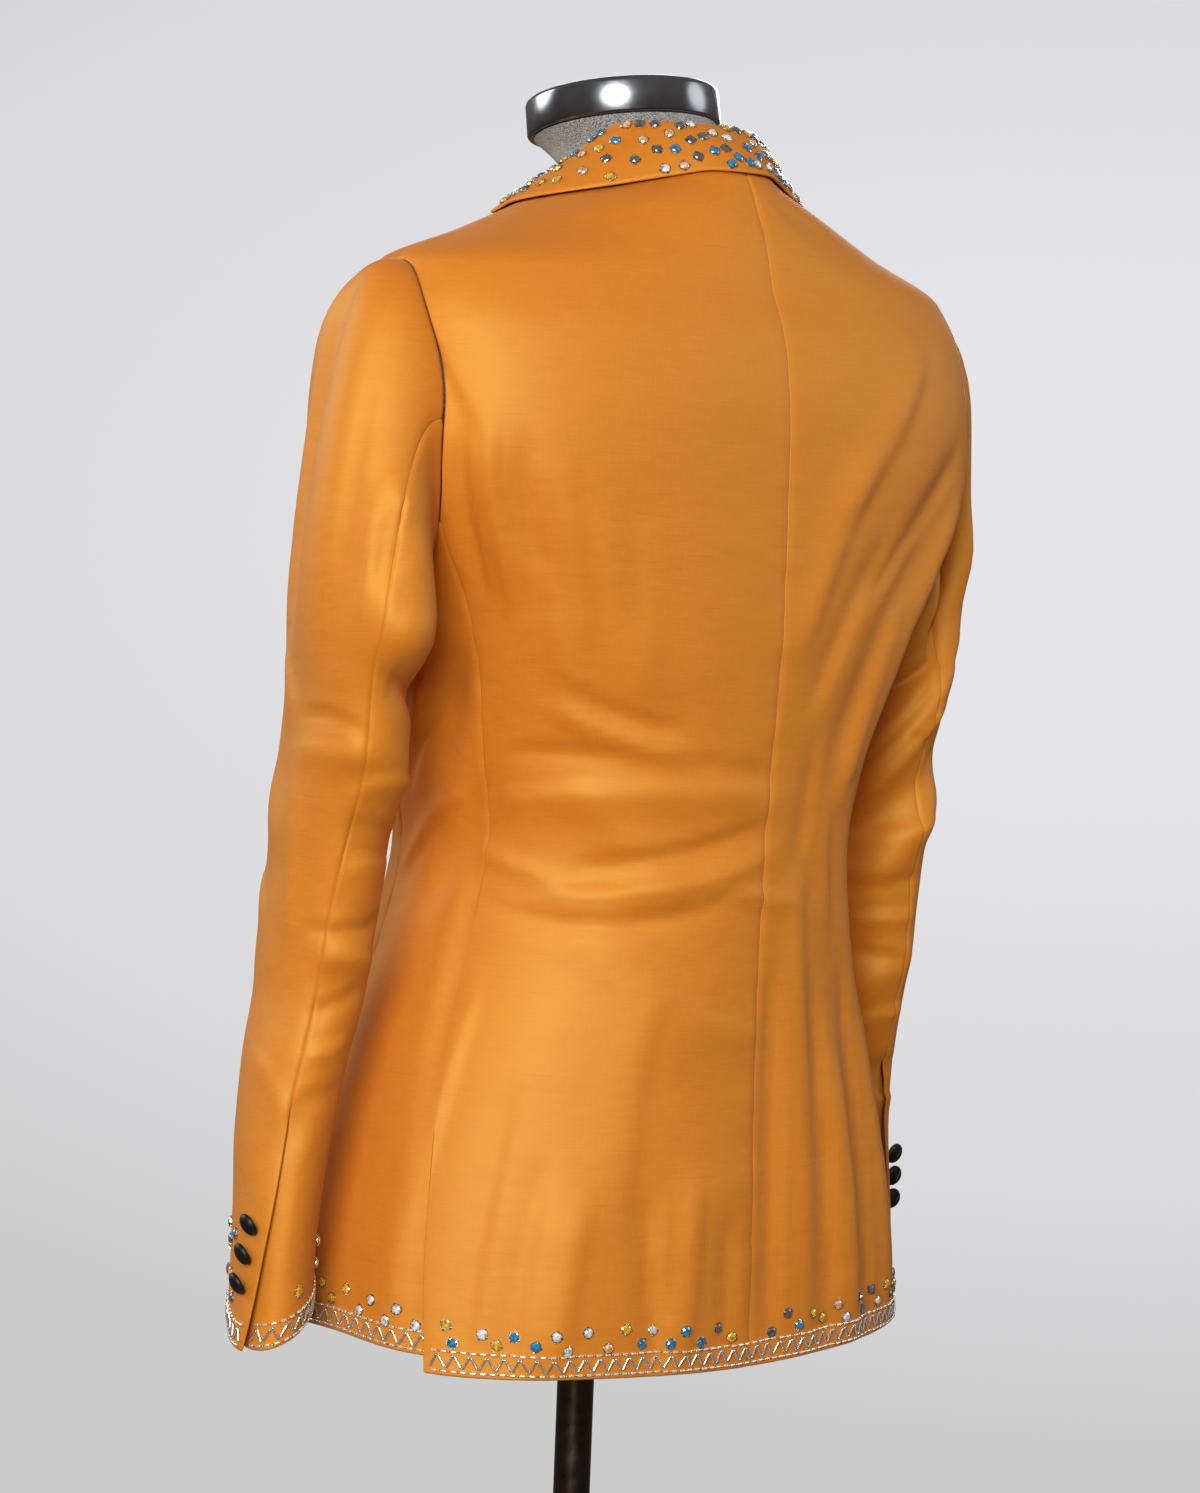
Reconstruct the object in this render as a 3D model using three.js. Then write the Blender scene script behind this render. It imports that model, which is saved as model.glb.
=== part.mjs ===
// Men's blazer on a limbless dress form. Millimetres, +Z up, floor at z = 0.
// The wearer's left is +X, the front faces -Y and the back +Y; the pole stands on the Z axis.
import * as THREE from 'three';

// ---------------------------------------------------------------- driving dimensions (mm)
const CLOTH = 2.0;             // wall of the lined satin cloth
const SEAM = 0.3;              // gap between two sewn pieces
const HEM = 770;               // height of the hem at the centre back
const VENT_TOP = 1060;         // top of the side vents
const VENT_LAP = 30;           // width of the lap under the back panel
const LAP_SINK = CLOTH + 1.5;  // how far a lap lies below the panel over it
const VENT_FLARE = 3;          // how far the back panel's vent edge stands off at the hem
const ARMHOLE = { bottom: 1235, top: 1440, halfTurn: 29 };
const BUTTON_HEIGHT = 1098;    // the front's closing button
const BREAK = 1130;            // where the left lapel begins to roll
const FRONT_LAP = 10;          // each front edge passes the centre line by this much
const NECK = 1508;             // height of the neck seam at the back
const ROLL = 1531;             // top of the collar's fold at the back
const CUFF = 800;
const CUFF_VENT = 120;         // length of the cuff's slit
const CUFF_LAP_TURN = 18;      // degrees of the undersleeve that lie under the topsleeve
const CUFF_FLARE = 7;
const BUTTON = { radius: 7.3, rise: 5.5, pitch: 14.9 };
const POLE_RADIUS = 12;
const BASE = { radius: 190, thick: 14, dome: 10 };

const radians = THREE.MathUtils.degToRad;
const { lerp, clamp, smoothstep } = THREE.MathUtils;

// A table has its columns named once and one row for each section or fold.
const table = (names, ...rows) => rows.map(
  row => Object.fromEntries(names.split(' ').map((name, i) => [name, row[i]])));

// ---------------------------------------------------------------- sections and folds
// Level sections of the worn jacket: half width, y of the back and front middles, y of the sides, squareness.
const TORSO = table('z halfWidth back front middle square',
  [770, 208, 160, -166, -4, 2.8],
  [850, 199, 159, -156, 0, 2.7],
  [950, 178, 156, -134, 8, 2.4],
  [1030, 155, 155, -114, 14, 2.3],
  [1085, 146, 156, -105, 18, 2.3],
  [1150, 158, 160, -107, 20, 2.4],
  [1235, 186, 165, -110, 26, 2.7],
  [1340, 228, 164, -98, 40, 2.9],
  [1400, 230, 157, -80, 46, 2.6],
  [1440, 217, 142, -54, 50, 2.25],
  [1465, 158, 135, -42, 50, 1.95],
  [1485, 108, 127, -34, 49, 2.0],
  [NECK, 58, 114, -24, 44, 2.0],
  [1545, 58, 72, -32, 20, 2.0]);

// Largest folds of the body, from one end to the other. turn: degrees round the body, 0 at the left side,
// 90 at the centre back, 180 at the right side. depth: out of the cloth, negative for a trough.
const TORSO_FOLDS = table('turnA zA turnB zB width depth',
  [142, 1330, 121, 1130, 16, 6],
  [132, 1330, 112, 1140, 14, -4],
  [121, 1130, 128, 980, 18, 4],
  [24, 1255, 2, 1130, 14, -5],
  [20, 1130, -4, 1040, 15, -4],
  [36, 1280, 44, 1170, 11, 3],
  [52, 1290, 58, 1180, 12, 2.5],
  [40, 1130, 66, 1060, 16, 3],
  [44, 1050, 74, 960, 18, 3],
  [52, 890, 50, 770, 20, 4],
  [80, 900, 82, 770, 22, 3],
  [112, 960, 116, 770, 18, 3],
  [134, 980, 138, 770, 18, 5],
  [152, 1000, 156, 770, 20, 5],
  [-60, 1000, -50, 770, 20, 3],
  [240, 1000, 230, 770, 20, 3]);

// Sleeve sections below the cap: centre, half depth (front to back), half width, and how far the depth
// axis is turned outward at the back. The right sleeve is given as if it were a left one.
const SLEEVE = {
  left: table('z x y depth width turn',
    [1205, 227, 30, 77, 36, 25],
    [1125, 222, 11, 70, 35, 26],
    [1065, 220, -2, 66, 34, 27],
    [1005, 221, -11, 62, 33, 28],
    [957, 231, -11, 58, 31, 29],
    [910, 238, -11, 55, 29, 31],
    [862, 243, -9, 52, 26, 32],
    [CUFF, 245, -9, 50, 25, 33]),
  right: table('z x y depth width turn',
    [1205, 222, 20, 75, 37, -8],
    [1106, 219, 17, 69, 35, -10],
    [971, 220, 6, 59, 32, -8],
    [890, 230, -10, 54, 28, -2],
    [CUFF, 244, -20, 50, 25, 4]),
};

// Folds of each sleeve: height and turn of both ends (0 outer side, 90 back, 180 inner side).
const SLEEVE_FOLDS = {
  left: table('turnA zA turnB zB width depth',
    [60, 1310, 130, 1268, 16, 6],
    [70, 1262, 150, 1236, 13, -5],
    [50, 1235, 130, 1200, 15, 5],
    [95, 1190, 175, 1178, 12, -7],
    [60, 1160, 150, 1130, 16, 5],
    [80, 1095, 160, 1080, 14, -4],
    [-30, 1240, 40, 1200, 18, 4],
    [-60, 1130, 20, 1090, 18, 3],
    [70, 1040, 140, 1020, 14, 4]),
  right: table('turnA zA turnB zB width depth',
    [50, 1290, 150, 1200, 16, 7],
    [50, 1245, 150, 1160, 13, -6],
    [50, 1210, 150, 1120, 15, 6],
    [45, 1150, 150, 1085, 15, -4.5],
    [40, 1120, 140, 1050, 16, 6],
    [-30, 1240, 40, 1200, 18, 4],
    [60, 1010, 140, 980, 16, 4]),
};

// Height rows shared by the panels, so that two pieces meet point to point along a seam.
const LOW_ROWS = [770, 800, 835, 870, 905, 940, 975, 1005, 1030, 1052, 1075, 1100, 1130, 1165, 1200];
const HIGH_ROWS = [1285, 1315, 1345, 1375, 1400, 1418, 1431, 1440, 1450, 1463, 1478, 1493, NECK];
const BACK_ROWS = [...LOW_ROWS, 1228, 1257, ...HIGH_ROWS];
const FRONT_ROWS = [770, 784, 800, 817, ...LOW_ROWS.slice(2), 1220, 1240, 1260, ...HIGH_ROWS];

// ---------------------------------------------------------------- interpolation and surfaces
// Smooth value of a column that never overshoots its rows.
function at(rows, key, name, value) {
  const last = rows.length - 1;
  const step = i => rows[i + 1][key] - rows[i][key];
  const slope = i => (rows[i + 1][name] - rows[i][name]) / step(i);
  const tangent = i => {
    if (i === 0) return slope(0);
    if (i === last) return slope(last - 1);
    const [a, b] = [slope(i - 1), slope(i)];
    const mean = (a * step(i) + b * step(i - 1)) / (step(i - 1) + step(i));
    return (Math.sign(a) + Math.sign(b)) * Math.min(Math.abs(a), Math.abs(b), Math.abs(mean) / 2);
  };
  const down = rows[0][key] > rows[last][key];
  const x = down ? clamp(value, rows[last][key], rows[0][key]) : clamp(value, rows[0][key], rows[last][key]);
  let i = 0;
  while (i < last - 1 && (down ? x < rows[i + 1][key] : x > rows[i + 1][key])) i++;
  const t = (x - rows[i][key]) / step(i);
  return (2 * t ** 3 - 3 * t ** 2 + 1) * rows[i][name] + (t ** 3 - 2 * t ** 2 + t) * step(i) * tangent(i)
    + (3 * t ** 2 - 2 * t ** 3) * rows[i + 1][name] + (t ** 3 - t ** 2) * step(i) * tangent(i + 1);
}

// Height of the folds at a place on a cloth whose turn has the given millimetres to a degree.
function foldHeight(folds, turn, z, perDegree) {
  let height = 0;
  for (const fold of folds) {
    const ax = (turn - fold.turnA) * perDegree, az = z - fold.zA;
    const bx = (fold.turnB - fold.turnA) * perDegree, bz = fold.zB - fold.zA;
    const along = clamp((ax * bx + az * bz) / (bx * bx + bz * bz), 0, 1);
    const distance = Math.hypot(ax - along * bx, az - along * bz) / fold.width;
    height += fold.depth * (1 - (2 * along - 1) ** 4 * 0.7) * Math.exp(-distance * distance);
  }
  return height;
}

const superRound = (turn, square) =>
  (Math.abs(Math.cos(turn)) ** square + Math.abs(Math.sin(turn)) ** square) ** (-1 / square);

// The outer face of the jacket's body, also carried on upward as the neck.
const BODY_PER_DEGREE = 2.7;
function torso(turn, z, folds = TORSO_FOLDS) {
  const [w, back, front, middle, square] =
    ['halfWidth', 'back', 'front', 'middle', 'square'].map(name => at(TORSO, 'z', name, z));
  const a = radians(turn);
  const round = superRound(a, square);
  const depth = Math.sin(a) > 0 ? back - middle : middle - front;
  const out = folds.length ? foldHeight(folds, turn, z, BODY_PER_DEGREE) : 0;
  return new THREE.Vector3(w * Math.cos(a) * round + out * Math.cos(a),
    middle + depth * Math.sin(a) * round + out * Math.sin(a), z);
}

// Outward normal of the body's surface.
function torsoNormal(turn, z, folds = TORSO_FOLDS) {
  const across = torso(turn + 0.4, z, folds).sub(torso(turn - 0.4, z, folds));
  const up = torso(turn, z + 0.8, folds).sub(torso(turn, z - 0.8, folds));
  return across.cross(up).normalize();
}

const lifted = (turn, z, out) => torso(turn, z).addScaledVector(torsoNormal(turn, z), out);

// Turn, on the left front, at which the surface has the given x.
function frontTurn(x, z) {
  const w = at(TORSO, 'z', 'halfWidth', z), square = at(TORSO, 'z', 'square', z);
  const across = x / w;
  return -THREE.MathUtils.radToDeg(Math.atan2((1 - Math.abs(across) ** square) ** (1 / square), across));
}

// Height of the hem: it rises a little from the centre back to the sides and again towards the front.
const HEM_RISE = { side: 4, front: 18 };
const hemHeight = turn =>
  HEM + HEM_RISE.side * (1 - smoothstep(turn, 50, 90)) + HEM_RISE.front * (1 - smoothstep(turn, -60, 40));
function rowHeight(row, turn, lift = 0) {
  const fade = clamp(1 - (row - HEM) / 235, 0, 1);
  return row + (hemHeight(turn) + lift - HEM) * fade ** 1.5;
}

// ---------------------------------------------------------------- seam lines, as turns of the left half
const CENTRE_BACK = 90;
const SHOULDER_TURN = -2;
const BACK_JOINT = 1285;       // where the side-back seam meets the armhole
const FRONT_JOINT = 1260;
const ARMHOLE_SQUARE = 2;
const armholeMiddle = z => lerp(-6, SHOULDER_TURN, smoothstep(z, ARMHOLE.bottom, ARMHOLE.top));

// Armhole curve: round is 0 at the shoulder, 90 at the back, 180 under the arm and 270 in front.
function armhole(round) {
  const a = radians(round), g = superRound(a, ARMHOLE_SQUARE);
  const z = (ARMHOLE.top + ARMHOLE.bottom) / 2 + (ARMHOLE.top - ARMHOLE.bottom) / 2 * Math.cos(a) * g;
  return { z, turn: armholeMiddle(z) + ARMHOLE.halfTurn * Math.sin(a) * g };
}

// Place round the armhole at a height, on its back (side 1) or its front (side -1).
function armholeRound(z, side) {
  const level = clamp((2 * z - ARMHOLE.top - ARMHOLE.bottom) / (ARMHOLE.top - ARMHOLE.bottom), -1, 1);
  const across = (1 - Math.abs(level) ** ARMHOLE_SQUARE) ** (1 / ARMHOLE_SQUARE);
  const round = THREE.MathUtils.radToDeg(Math.atan2(across, level));
  return side > 0 ? round : 360 - round;
}
const armholeTurn = (z, side) => armhole(armholeRound(z, side)).turn;

const SIDE_BACK = table('z turn',
  [770, 29], [900, 23], [1050, 16], [1130, 17], [1200, 20], [BACK_JOINT, armholeTurn(BACK_JOINT, 1)]);
const SIDE_FRONT = table('z turn',
  [770, -30], [900, -27], [1050, -22], [1130, -24], [1200, -26], [FRONT_JOINT, armholeTurn(FRONT_JOINT, -1)]);
function panelSide(z, seam, joint, side) {
  if (z <= joint) return at(seam, 'z', 'turn', z);
  return z < ARMHOLE.top ? armholeTurn(z, side) : SHOULDER_TURN;
}
const sideBack = z => panelSide(z, SIDE_BACK, BACK_JOINT, 1);
const sideFront = z => panelSide(z, SIDE_FRONT, FRONT_JOINT, -1);

// Front edge: rounded quarter, straight closing, then the lapel's roll line up to the neck.
const QUARTER = { top: 1060, bottom: 765, inset: 84 };
const ROLL_TOP_X = 47;
function frontEdgeX(z) {
  if (z >= BREAK) return lerp(-FRONT_LAP, ROLL_TOP_X, ((z - BREAK) / (NECK - BREAK)) ** 0.92);
  const drop = clamp((QUARTER.top - z) / (QUARTER.top - QUARTER.bottom), 0, 1);
  return -FRONT_LAP + QUARTER.inset * (1 - Math.sqrt(1 - drop ** 2));
}
const frontEdge = z => frontTurn(frontEdgeX(z), z);

// ---------------------------------------------------------------- walls from grids of points
// Geometry from points and triangles, turned so that its faces point out.
function solid(points, index) {
  let volume = 0;
  for (let i = 0; i < index.length; i += 3) {
    const [a, b, c] = [points[index[i]], points[index[i + 1]], points[index[i + 2]]];
    volume += a.dot(new THREE.Vector3().crossVectors(b, c));
  }
  if (volume < 0) {
    for (let i = 0; i < index.length; i += 3) [index[i + 1], index[i + 2]] = [index[i + 2], index[i + 1]];
  }
  const geometry = new THREE.BufferGeometry();
  geometry.setAttribute('position', new THREE.Float32BufferAttribute(points.flatMap(p => [p.x, p.y, p.z]), 3));
  geometry.setIndex(index);
  geometry.computeVertexNormals();
  return geometry;
}

// Closed wall between a grid of outer points and the grid of inner points that belongs to it.
function wall(outer, inner) {
  const rows = outer.length, cols = outer[0].length, count = rows * cols;
  const index = [];
  const quad = (a, b, c, d) => index.push(a, b, c, a, c, d);
  const id = (i, j) => i * cols + j;
  for (let i = 0; i < rows - 1; i++) {
    for (let j = 0; j < cols - 1; j++) {
      quad(id(i, j), id(i, j + 1), id(i + 1, j + 1), id(i + 1, j));
      quad(count + id(i, j), count + id(i + 1, j), count + id(i + 1, j + 1), count + id(i, j + 1));
    }
  }
  const rim = [];
  for (let j = 0; j < cols - 1; j++) rim.push(id(0, j));
  for (let i = 0; i < rows - 1; i++) rim.push(id(i, cols - 1));
  for (let j = cols - 1; j > 0; j--) rim.push(id(rows - 1, j));
  for (let i = rows - 1; i > 0; i--) rim.push(id(i, 0));
  // The cut runs the same way on both sides of a seam, so that twisted edges of two pieces stay parallel.
  rim.forEach((a, k) => {
    const b = rim[(k + 1) % rim.length];
    if (a < b) quad(a, count + a, count + b, b);
    else quad(count + a, count + b, b, a);
  });
  return solid([...outer.flat(), ...inner.flat()], index);
}

// Closed solid through rings of equally many points, with a middle point on each end.
function loft(rings) {
  const count = rings[0].length, last = rings.length - 1;
  const middle = ring => ring.reduce((sum, p) => sum.add(p), new THREE.Vector3()).divideScalar(count);
  const points = [...rings.flat(), middle(rings[0]), middle(rings[last])];
  const index = [];
  for (let j = 0; j < count; j++) {
    const k = (j + 1) % count;
    for (let i = 0; i < last; i++) {
      index.push(i * count + j, i * count + k, (i + 1) * count + k, i * count + j, (i + 1) * count + k, (i + 1) * count + j);
    }
    index.push(points.length - 2, k, j, points.length - 1, last * count + j, last * count + k);
  }
  return solid(points, index);
}

// The grid that lies a wall's thickness inside an outer grid.
function thicken(outer) {
  const rows = outer.length, cols = outer[0].length;
  return outer.map((row, i) => row.map((point, j) => {
    const up = outer[Math.min(i + 1, rows - 1)][j].clone().sub(outer[Math.max(i - 1, 0)][j]);
    const across = row[Math.min(j + 1, cols - 1)].clone().sub(row[Math.max(j - 1, 0)]);
    return point.clone().addScaledVector(across.cross(up).normalize(), -CLOTH);
  }));
}

// Moves the two end columns of a grid in by half a seam's gap, or by the given length.
function trimSides(grid, trim = SEAM / 2) {
  for (const row of grid) {
    const n = row.length - 1;
    const first = row[1].clone().sub(row[0]).setLength(trim);
    const last = row[n - 1].clone().sub(row[n]).setLength(trim);
    row[0].add(first);
    row[n].add(last);
  }
  return grid;
}

// ---------------------------------------------------------------- body panels
// A panel of one half (side 1 is the left): place(row, t) is its turn and height, t running 0 to 1 across it,
// and offset(z, turn, t) how far it is moved out of the body's surface.
function panel(side, rows, cols, place, offset = () => 0) {
  const outer = [], inner = [];
  for (const row of rows) {
    const outerRow = [], innerRow = [];
    for (let j = 0; j <= cols; j++) {
      const { turn, z } = place(row, j / cols);
      const bodyTurn = side > 0 ? turn : 180 - turn;
      const normal = torsoNormal(bodyTurn, z);
      const point = torso(bodyTurn, z).addScaledVector(normal, offset(z, turn, j / cols));
      outerRow.push(point);
      innerRow.push(point.clone().addScaledVector(normal, -CLOTH));
    }
    outer.push(outerRow);
    inner.push(innerRow);
  }
  return wall(trimSides(outer), trimSides(inner));
}
const level = (row, turn) => ({ turn, z: rowHeight(row, turn) });

function backPanel(side) {
  const place = (row, t) => level(row, lerp(CENTRE_BACK, sideBack(row), 1 - (1 - t) ** 1.25));
  const flare = (z, turn, t) => VENT_FLARE * (1 - smoothstep(z, HEM, VENT_TOP)) * smoothstep(t, 0.7, 1);
  return panel(side, BACK_ROWS, 9, place, flare);
}

// The side panel ends above on the armhole's lower curve, and laps under the back panel below the vent's top.
const SIDE_COLS = 7;
const LAP_LIFT = 9;            // the side panel's hem hangs higher than the back's at the vent
const SIDE_TOP_ROWS = [1 / 3, 2 / 3, 1];
const underArm = t => armhole(lerp(armholeRound(BACK_JOINT, 1), armholeRound(FRONT_JOINT, -1), t));
function sidePanel(side) {
  const top = LOW_ROWS[LOW_ROWS.length - 1];
  const lap = z => VENT_LAP / BODY_PER_DEGREE * (1 - smoothstep(z, VENT_TOP - 45, VENT_TOP - 5));
  const place = (row, t) => {
    if (row >= LOW_ROWS[0]) {
      const turn = lerp(sideBack(row) + lap(row), sideFront(row), t);
      return { turn, z: rowHeight(row, turn, LAP_LIFT * smoothstep(turn, sideFront(row), 10)) };
    }
    const end = underArm(t), z = lerp(top, end.z, row);
    if (t === 0) return { turn: sideBack(z), z };
    if (t === 1) return { turn: sideFront(z), z };
    return { turn: lerp(lerp(sideBack(top), sideFront(top), t), end.turn, row), z };
  };
  const sink = (z, turn) => {
    const seam = at(SIDE_BACK, 'z', 'turn', z);
    const near = smoothstep(turn, seam - 22 / BODY_PER_DEGREE, seam - 2 / BODY_PER_DEGREE);
    return -LAP_SINK * near * (1 - smoothstep(z, VENT_TOP, VENT_TOP + 45));
  };
  return panel(side, [...LOW_ROWS, ...SIDE_TOP_ROWS], SIDE_COLS, place, sink);
}

// The right front lies under the left one where they close.
const CLOSING_SINK = CLOTH + 1.2;
function frontPanel(side) {
  const place = (row, t) => level(row, lerp(sideFront(row), frontEdge(row), t));
  const sink = (z, turn) =>
    -CLOSING_SINK * (1 - smoothstep(turn, -84, -68)) * (1 - smoothstep(z, BREAK + 50, BREAK + 110));
  return panel(side, FRONT_ROWS, 9, place, side > 0 ? undefined : sink);
}

// ---------------------------------------------------------------- sleeves
const BICEP = SLEEVE.left[0].z;
const CAP_ROWS = [0, 0.08, 0.19, 0.31, 0.44, 0.58, 0.73, 0.87];
const ARM_ROWS = [BICEP, 1182, 1158, 1132, 1105, 1075, 1042, 1008, 975, 945, CUFF + CUFF_VENT, 897, 873, 849, 825, CUFF];
const CUFF_TILT = { x: -0.4, y: 0 };
const CAP_FLAT = 7;            // how much flatter the sleeve hangs below its head
const HIND_SEAM = table('z turn', [BICEP, 80], [1130, 87], [1050, 79], [910, 79], [843, 64], [CUFF, 48]);
const FORE_SEAM = table('z turn', [BICEP, 232], [1130, 236], [1000, 240], [CUFF, 244]);
const HIND_START = armholeRound(1345, 1);
const FORE_START = armholeRound(FRONT_JOINT, -1);

// Level ring of the left or right sleeve, with its folds; the right one is mirrored by the caller.
function sleeveRing(round, z, word) {
  const [x, y, depth, width, turn] = ['x', 'y', 'depth', 'width', 'turn'].map(name => at(SLEEVE[word], 'z', name, z));
  const a = radians(round), b = radians(turn), g = superRound(a, 2.15);
  const out = foldHeight(SLEEVE_FOLDS[word], round > 270 ? round - 360 : round, z, 1.0);
  const p = (width * g + out) * Math.cos(a), q = (depth * g + out) * Math.sin(a);
  const tilt = 1 - smoothstep(z, CUFF, CUFF + 90);
  const dx = p * Math.cos(b) + q * Math.sin(b), dy = q * Math.cos(b) - p * Math.sin(b);
  return new THREE.Vector3(x + dx, y + dy, z + tilt * (CUFF_TILT.x * dx + CUFF_TILT.y * dy));
}

// Sleeve cap: leaves the armhole outward, fullest at the sleeve head, and turns down into the ring at the biceps.
function capPoint(round, t, word) {
  const { turn, z } = armhole(round);
  const start = torso(turn, z);
  const end = sleeveRing(round, BICEP, word);
  const a = radians(round), reach = start.distanceTo(end);
  const head = ((1 + Math.cos(a)) / 2) ** 2;
  const leave = new THREE.Vector3(1, 0.06 * Math.sin(a), 0.2 * Math.cos(a) - 0.06).normalize();
  const arrive = sleeveRing(round, BICEP - 20, word).sub(end).normalize();
  start.addScaledVector(leave, SEAM + 0.05);
  const [t2, t3] = [t * t, t * t * t];
  const point = start.clone().multiplyScalar(2 * t3 - 3 * t2 + 1)
    .addScaledVector(leave, (t3 - 2 * t2 + t) * reach * lerp(0.5, 0.68, head))
    .addScaledVector(end, 3 * t2 - 2 * t3)
    .addScaledVector(arrive, (t3 - t2) * reach * lerp(1.15, 1.7, head));
  const swell = Math.sin(Math.PI * t);
  const flat = CAP_FLAT * smoothstep(Math.cos(a), -0.6, 0.2) * swell ** 2;
  const folds = foldHeight(SLEEVE_FOLDS[word], round > 270 ? round - 360 : round, point.z, 1.0);
  const out = t < 1 ? folds * swell ** 0.7 - flat : 0;
  return point.add(new THREE.Vector3(0.6, 0.8 * Math.sin(a), 0).normalize().multiplyScalar(out));
}

// Places round the armhole where the body's panels have points, so that the sleeve meets them point to point.
function armholeRounds() {
  const rise = (rows, joint, side) => rows.filter(z => z >= joint && z < ARMHOLE.top).map(z => armholeRound(z, side));
  const under = Array.from({ length: SIDE_COLS - 1 }, (_, k) =>
    lerp(armholeRound(BACK_JOINT, 1), armholeRound(FRONT_JOINT, -1), (k + 1) / SIDE_COLS));
  return [0, ...rise(BACK_ROWS, BACK_JOINT, 1).reverse(), ...under, ...rise(FRONT_ROWS, FRONT_JOINT, -1)];
}
const ROUNDS = armholeRounds();
const within = (from, to) => ROUNDS.filter(round => round >= from - 0.01 && round <= to + 0.01);
const VENT_END = CUFF + CUFF_VENT;
const slit = (z, length) => 1 - smoothstep(z, VENT_END - length, VENT_END);

// The two pieces of a sleeve: places on the armhole, seams further down as turns, and what the cuff's vent
// does to a point at part f of the way across: turned by shift degrees and moved out.
const TOPSLEEVE = {
  rounds: [...within(FORE_START, 360).map(round => round - 360), ...within(0, HIND_START)],
  from: z => at(FORE_SEAM, 'z', 'turn', z) - 360,
  to: z => at(HIND_SEAM, 'z', 'turn', z),
  vent: (z, f) => ({ shift: 0, out: CUFF_FLARE * slit(z, 25) * (VENT_END - z) / CUFF_VENT * smoothstep(f, 0.75, 1) }),
};
const UNDERSLEEVE = {
  rounds: within(HIND_START, FORE_START),
  from: z => at(HIND_SEAM, 'z', 'turn', z),
  to: z => at(FORE_SEAM, 'z', 'turn', z),
  vent: (z, f) => ({
    shift: -CUFF_LAP_TURN * slit(z, 25) * (1 - f) ** 2,
    out: -LAP_SINK * (1 - smoothstep(f, 0, 0.25)) * (1 - smoothstep(z, VENT_END, VENT_END + 24)),
  }),
};

// Turn, and then point, of a sleeve piece below the cap, a part f of the way across it.
const armTurn = (piece, f, z) => lerp(piece.from(z), piece.to(z), f) + piece.vent(z, f).shift;
function armPoint(piece, word, f, z) {
  const { out } = piece.vent(z, f);
  const point = sleeveRing(armTurn(piece, f, z), z, word);
  const axis = new THREE.Vector3(at(SLEEVE[word], 'z', 'x', z), at(SLEEVE[word], 'z', 'y', z), point.z);
  return point.addScaledVector(point.clone().sub(axis).normalize(), out);
}

const step = (place, turn) => place(turn + 3).sub(place(turn - 3));
function sleevePiece(side, piece) {
  const word = side > 0 ? 'left' : 'right', { rounds } = piece, n = rounds.length - 1;
  const part = round => (round - rounds[0]) / (rounds[n] - rounds[0]);
  const capTurn = (round, t) => lerp(round, lerp(piece.from(BICEP), piece.to(BICEP), part(round)), t);
  const outer = [
    ...CAP_ROWS.map(t => rounds.map(round => capPoint(capTurn(round, t), t, word))),
    ...ARM_ROWS.map(z => rounds.map(round => armPoint(piece, word, part(round), z))),
  ];
  // Both pieces take the direction across at a seam from the whole sleeve, so their walls stay parallel there.
  const across = [
    ...CAP_ROWS.map(t => rounds.map(round => step(turn => capPoint(turn, t, word), capTurn(round, t)))),
    ...ARM_ROWS.map(z => rounds.map(round => step(turn => sleeveRing(turn, z, word), armTurn(piece, part(round), z)))),
  ];
  const inner = outer.map((row, i) => row.map((point, j) => {
    const up = outer[Math.min(i + 1, outer.length - 1)][j].clone().sub(outer[Math.max(i - 1, 0)][j]);
    return point.clone().addScaledVector(across[i][j].cross(up).normalize(), CLOTH);
  }));
  const grids = [trimSides(outer, SEAM + 0.2), trimSides(inner, SEAM + 0.2)];
  if (side < 0) grids.forEach(grid => grid.flat().forEach(p => p.setX(-p.x)));
  return wall(...grids);
}

// ---------------------------------------------------------------- collar
const NECK_END = frontEdge(NECK);   // turn at which the roll line passes from the front to the neck
const NECK_STEPS = 18;
const NECK_TURNS = Array.from({ length: NECK_STEPS - 1 }, (_, k) => lerp(NECK_END, 180 - NECK_END, (k + 1) / NECK_STEPS));
const rollHeight = turn => NECK + (ROLL - NECK) * smoothstep(turn, NECK_END, NECK_END + 70);
const mirrorTurn = turn => (turn > CENTRE_BACK ? 2 * CENTRE_BACK - turn : turn);

function collarStand() {
  const outer = [0, 0.5, 1].map(row => NECK_TURNS.slice(1, -1).map(turn =>
    torso(turn, lerp(NECK + 2 * SEAM, rollHeight(mirrorTurn(turn)), row))));
  return wall(outer, thicken(outer));
}

// Width of the lapel from its roll line, and height of the collar's edge round the neck.
const LAPEL_TIP = 7, LAPEL_TAPER = 0.9;
const LAPEL = table('z width', [BREAK, 5], [1165, 24], [1230, 48], [1300, 61], [1380, 60], [1450, 53], [NECK, 48]);
const FALL = table('turn z',
  [-60, 1479], [-20, 1482], [0, 1485], [20, 1490], [45, 1500], [68, 1506], [90, 1506]);
// Section of the fold: along is past the roll line, out is off the cloth.
const ROLL_SECTION = table('along out', [1.4, -2], [3.3, -1.4], [5, 0.9], [4.9, 3.6], [2.6, 5.6]);
const FALL_STEPS = [0.25, 0.5, 0.75, 1];
const RIGHT_BREAK = 1200;

// Point of the body's surface at the height of a point near it.
function underPoint(point) {
  const [w, back, front, middle, square] =
    ['halfWidth', 'back', 'front', 'middle', 'square'].map(name => at(TORSO, 'z', name, point.z));
  const depth = point.y > middle ? back - middle : middle - front;
  const turn = THREE.MathUtils.radToDeg(Math.atan2((point.y - middle) / depth, point.x / w));
  return { turn: turn < -130 ? turn + 360 : turn, z: point.z };
}

// The right lapel tapers to a tip where it passes under the left front.
function lapelWidth(z, right) {
  const width = at(LAPEL, 'z', 'width', z);
  return right ? Math.min(width, LAPEL_TIP + LAPEL_TAPER * (z - RIGHT_BREAK)) : width;
}

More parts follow.
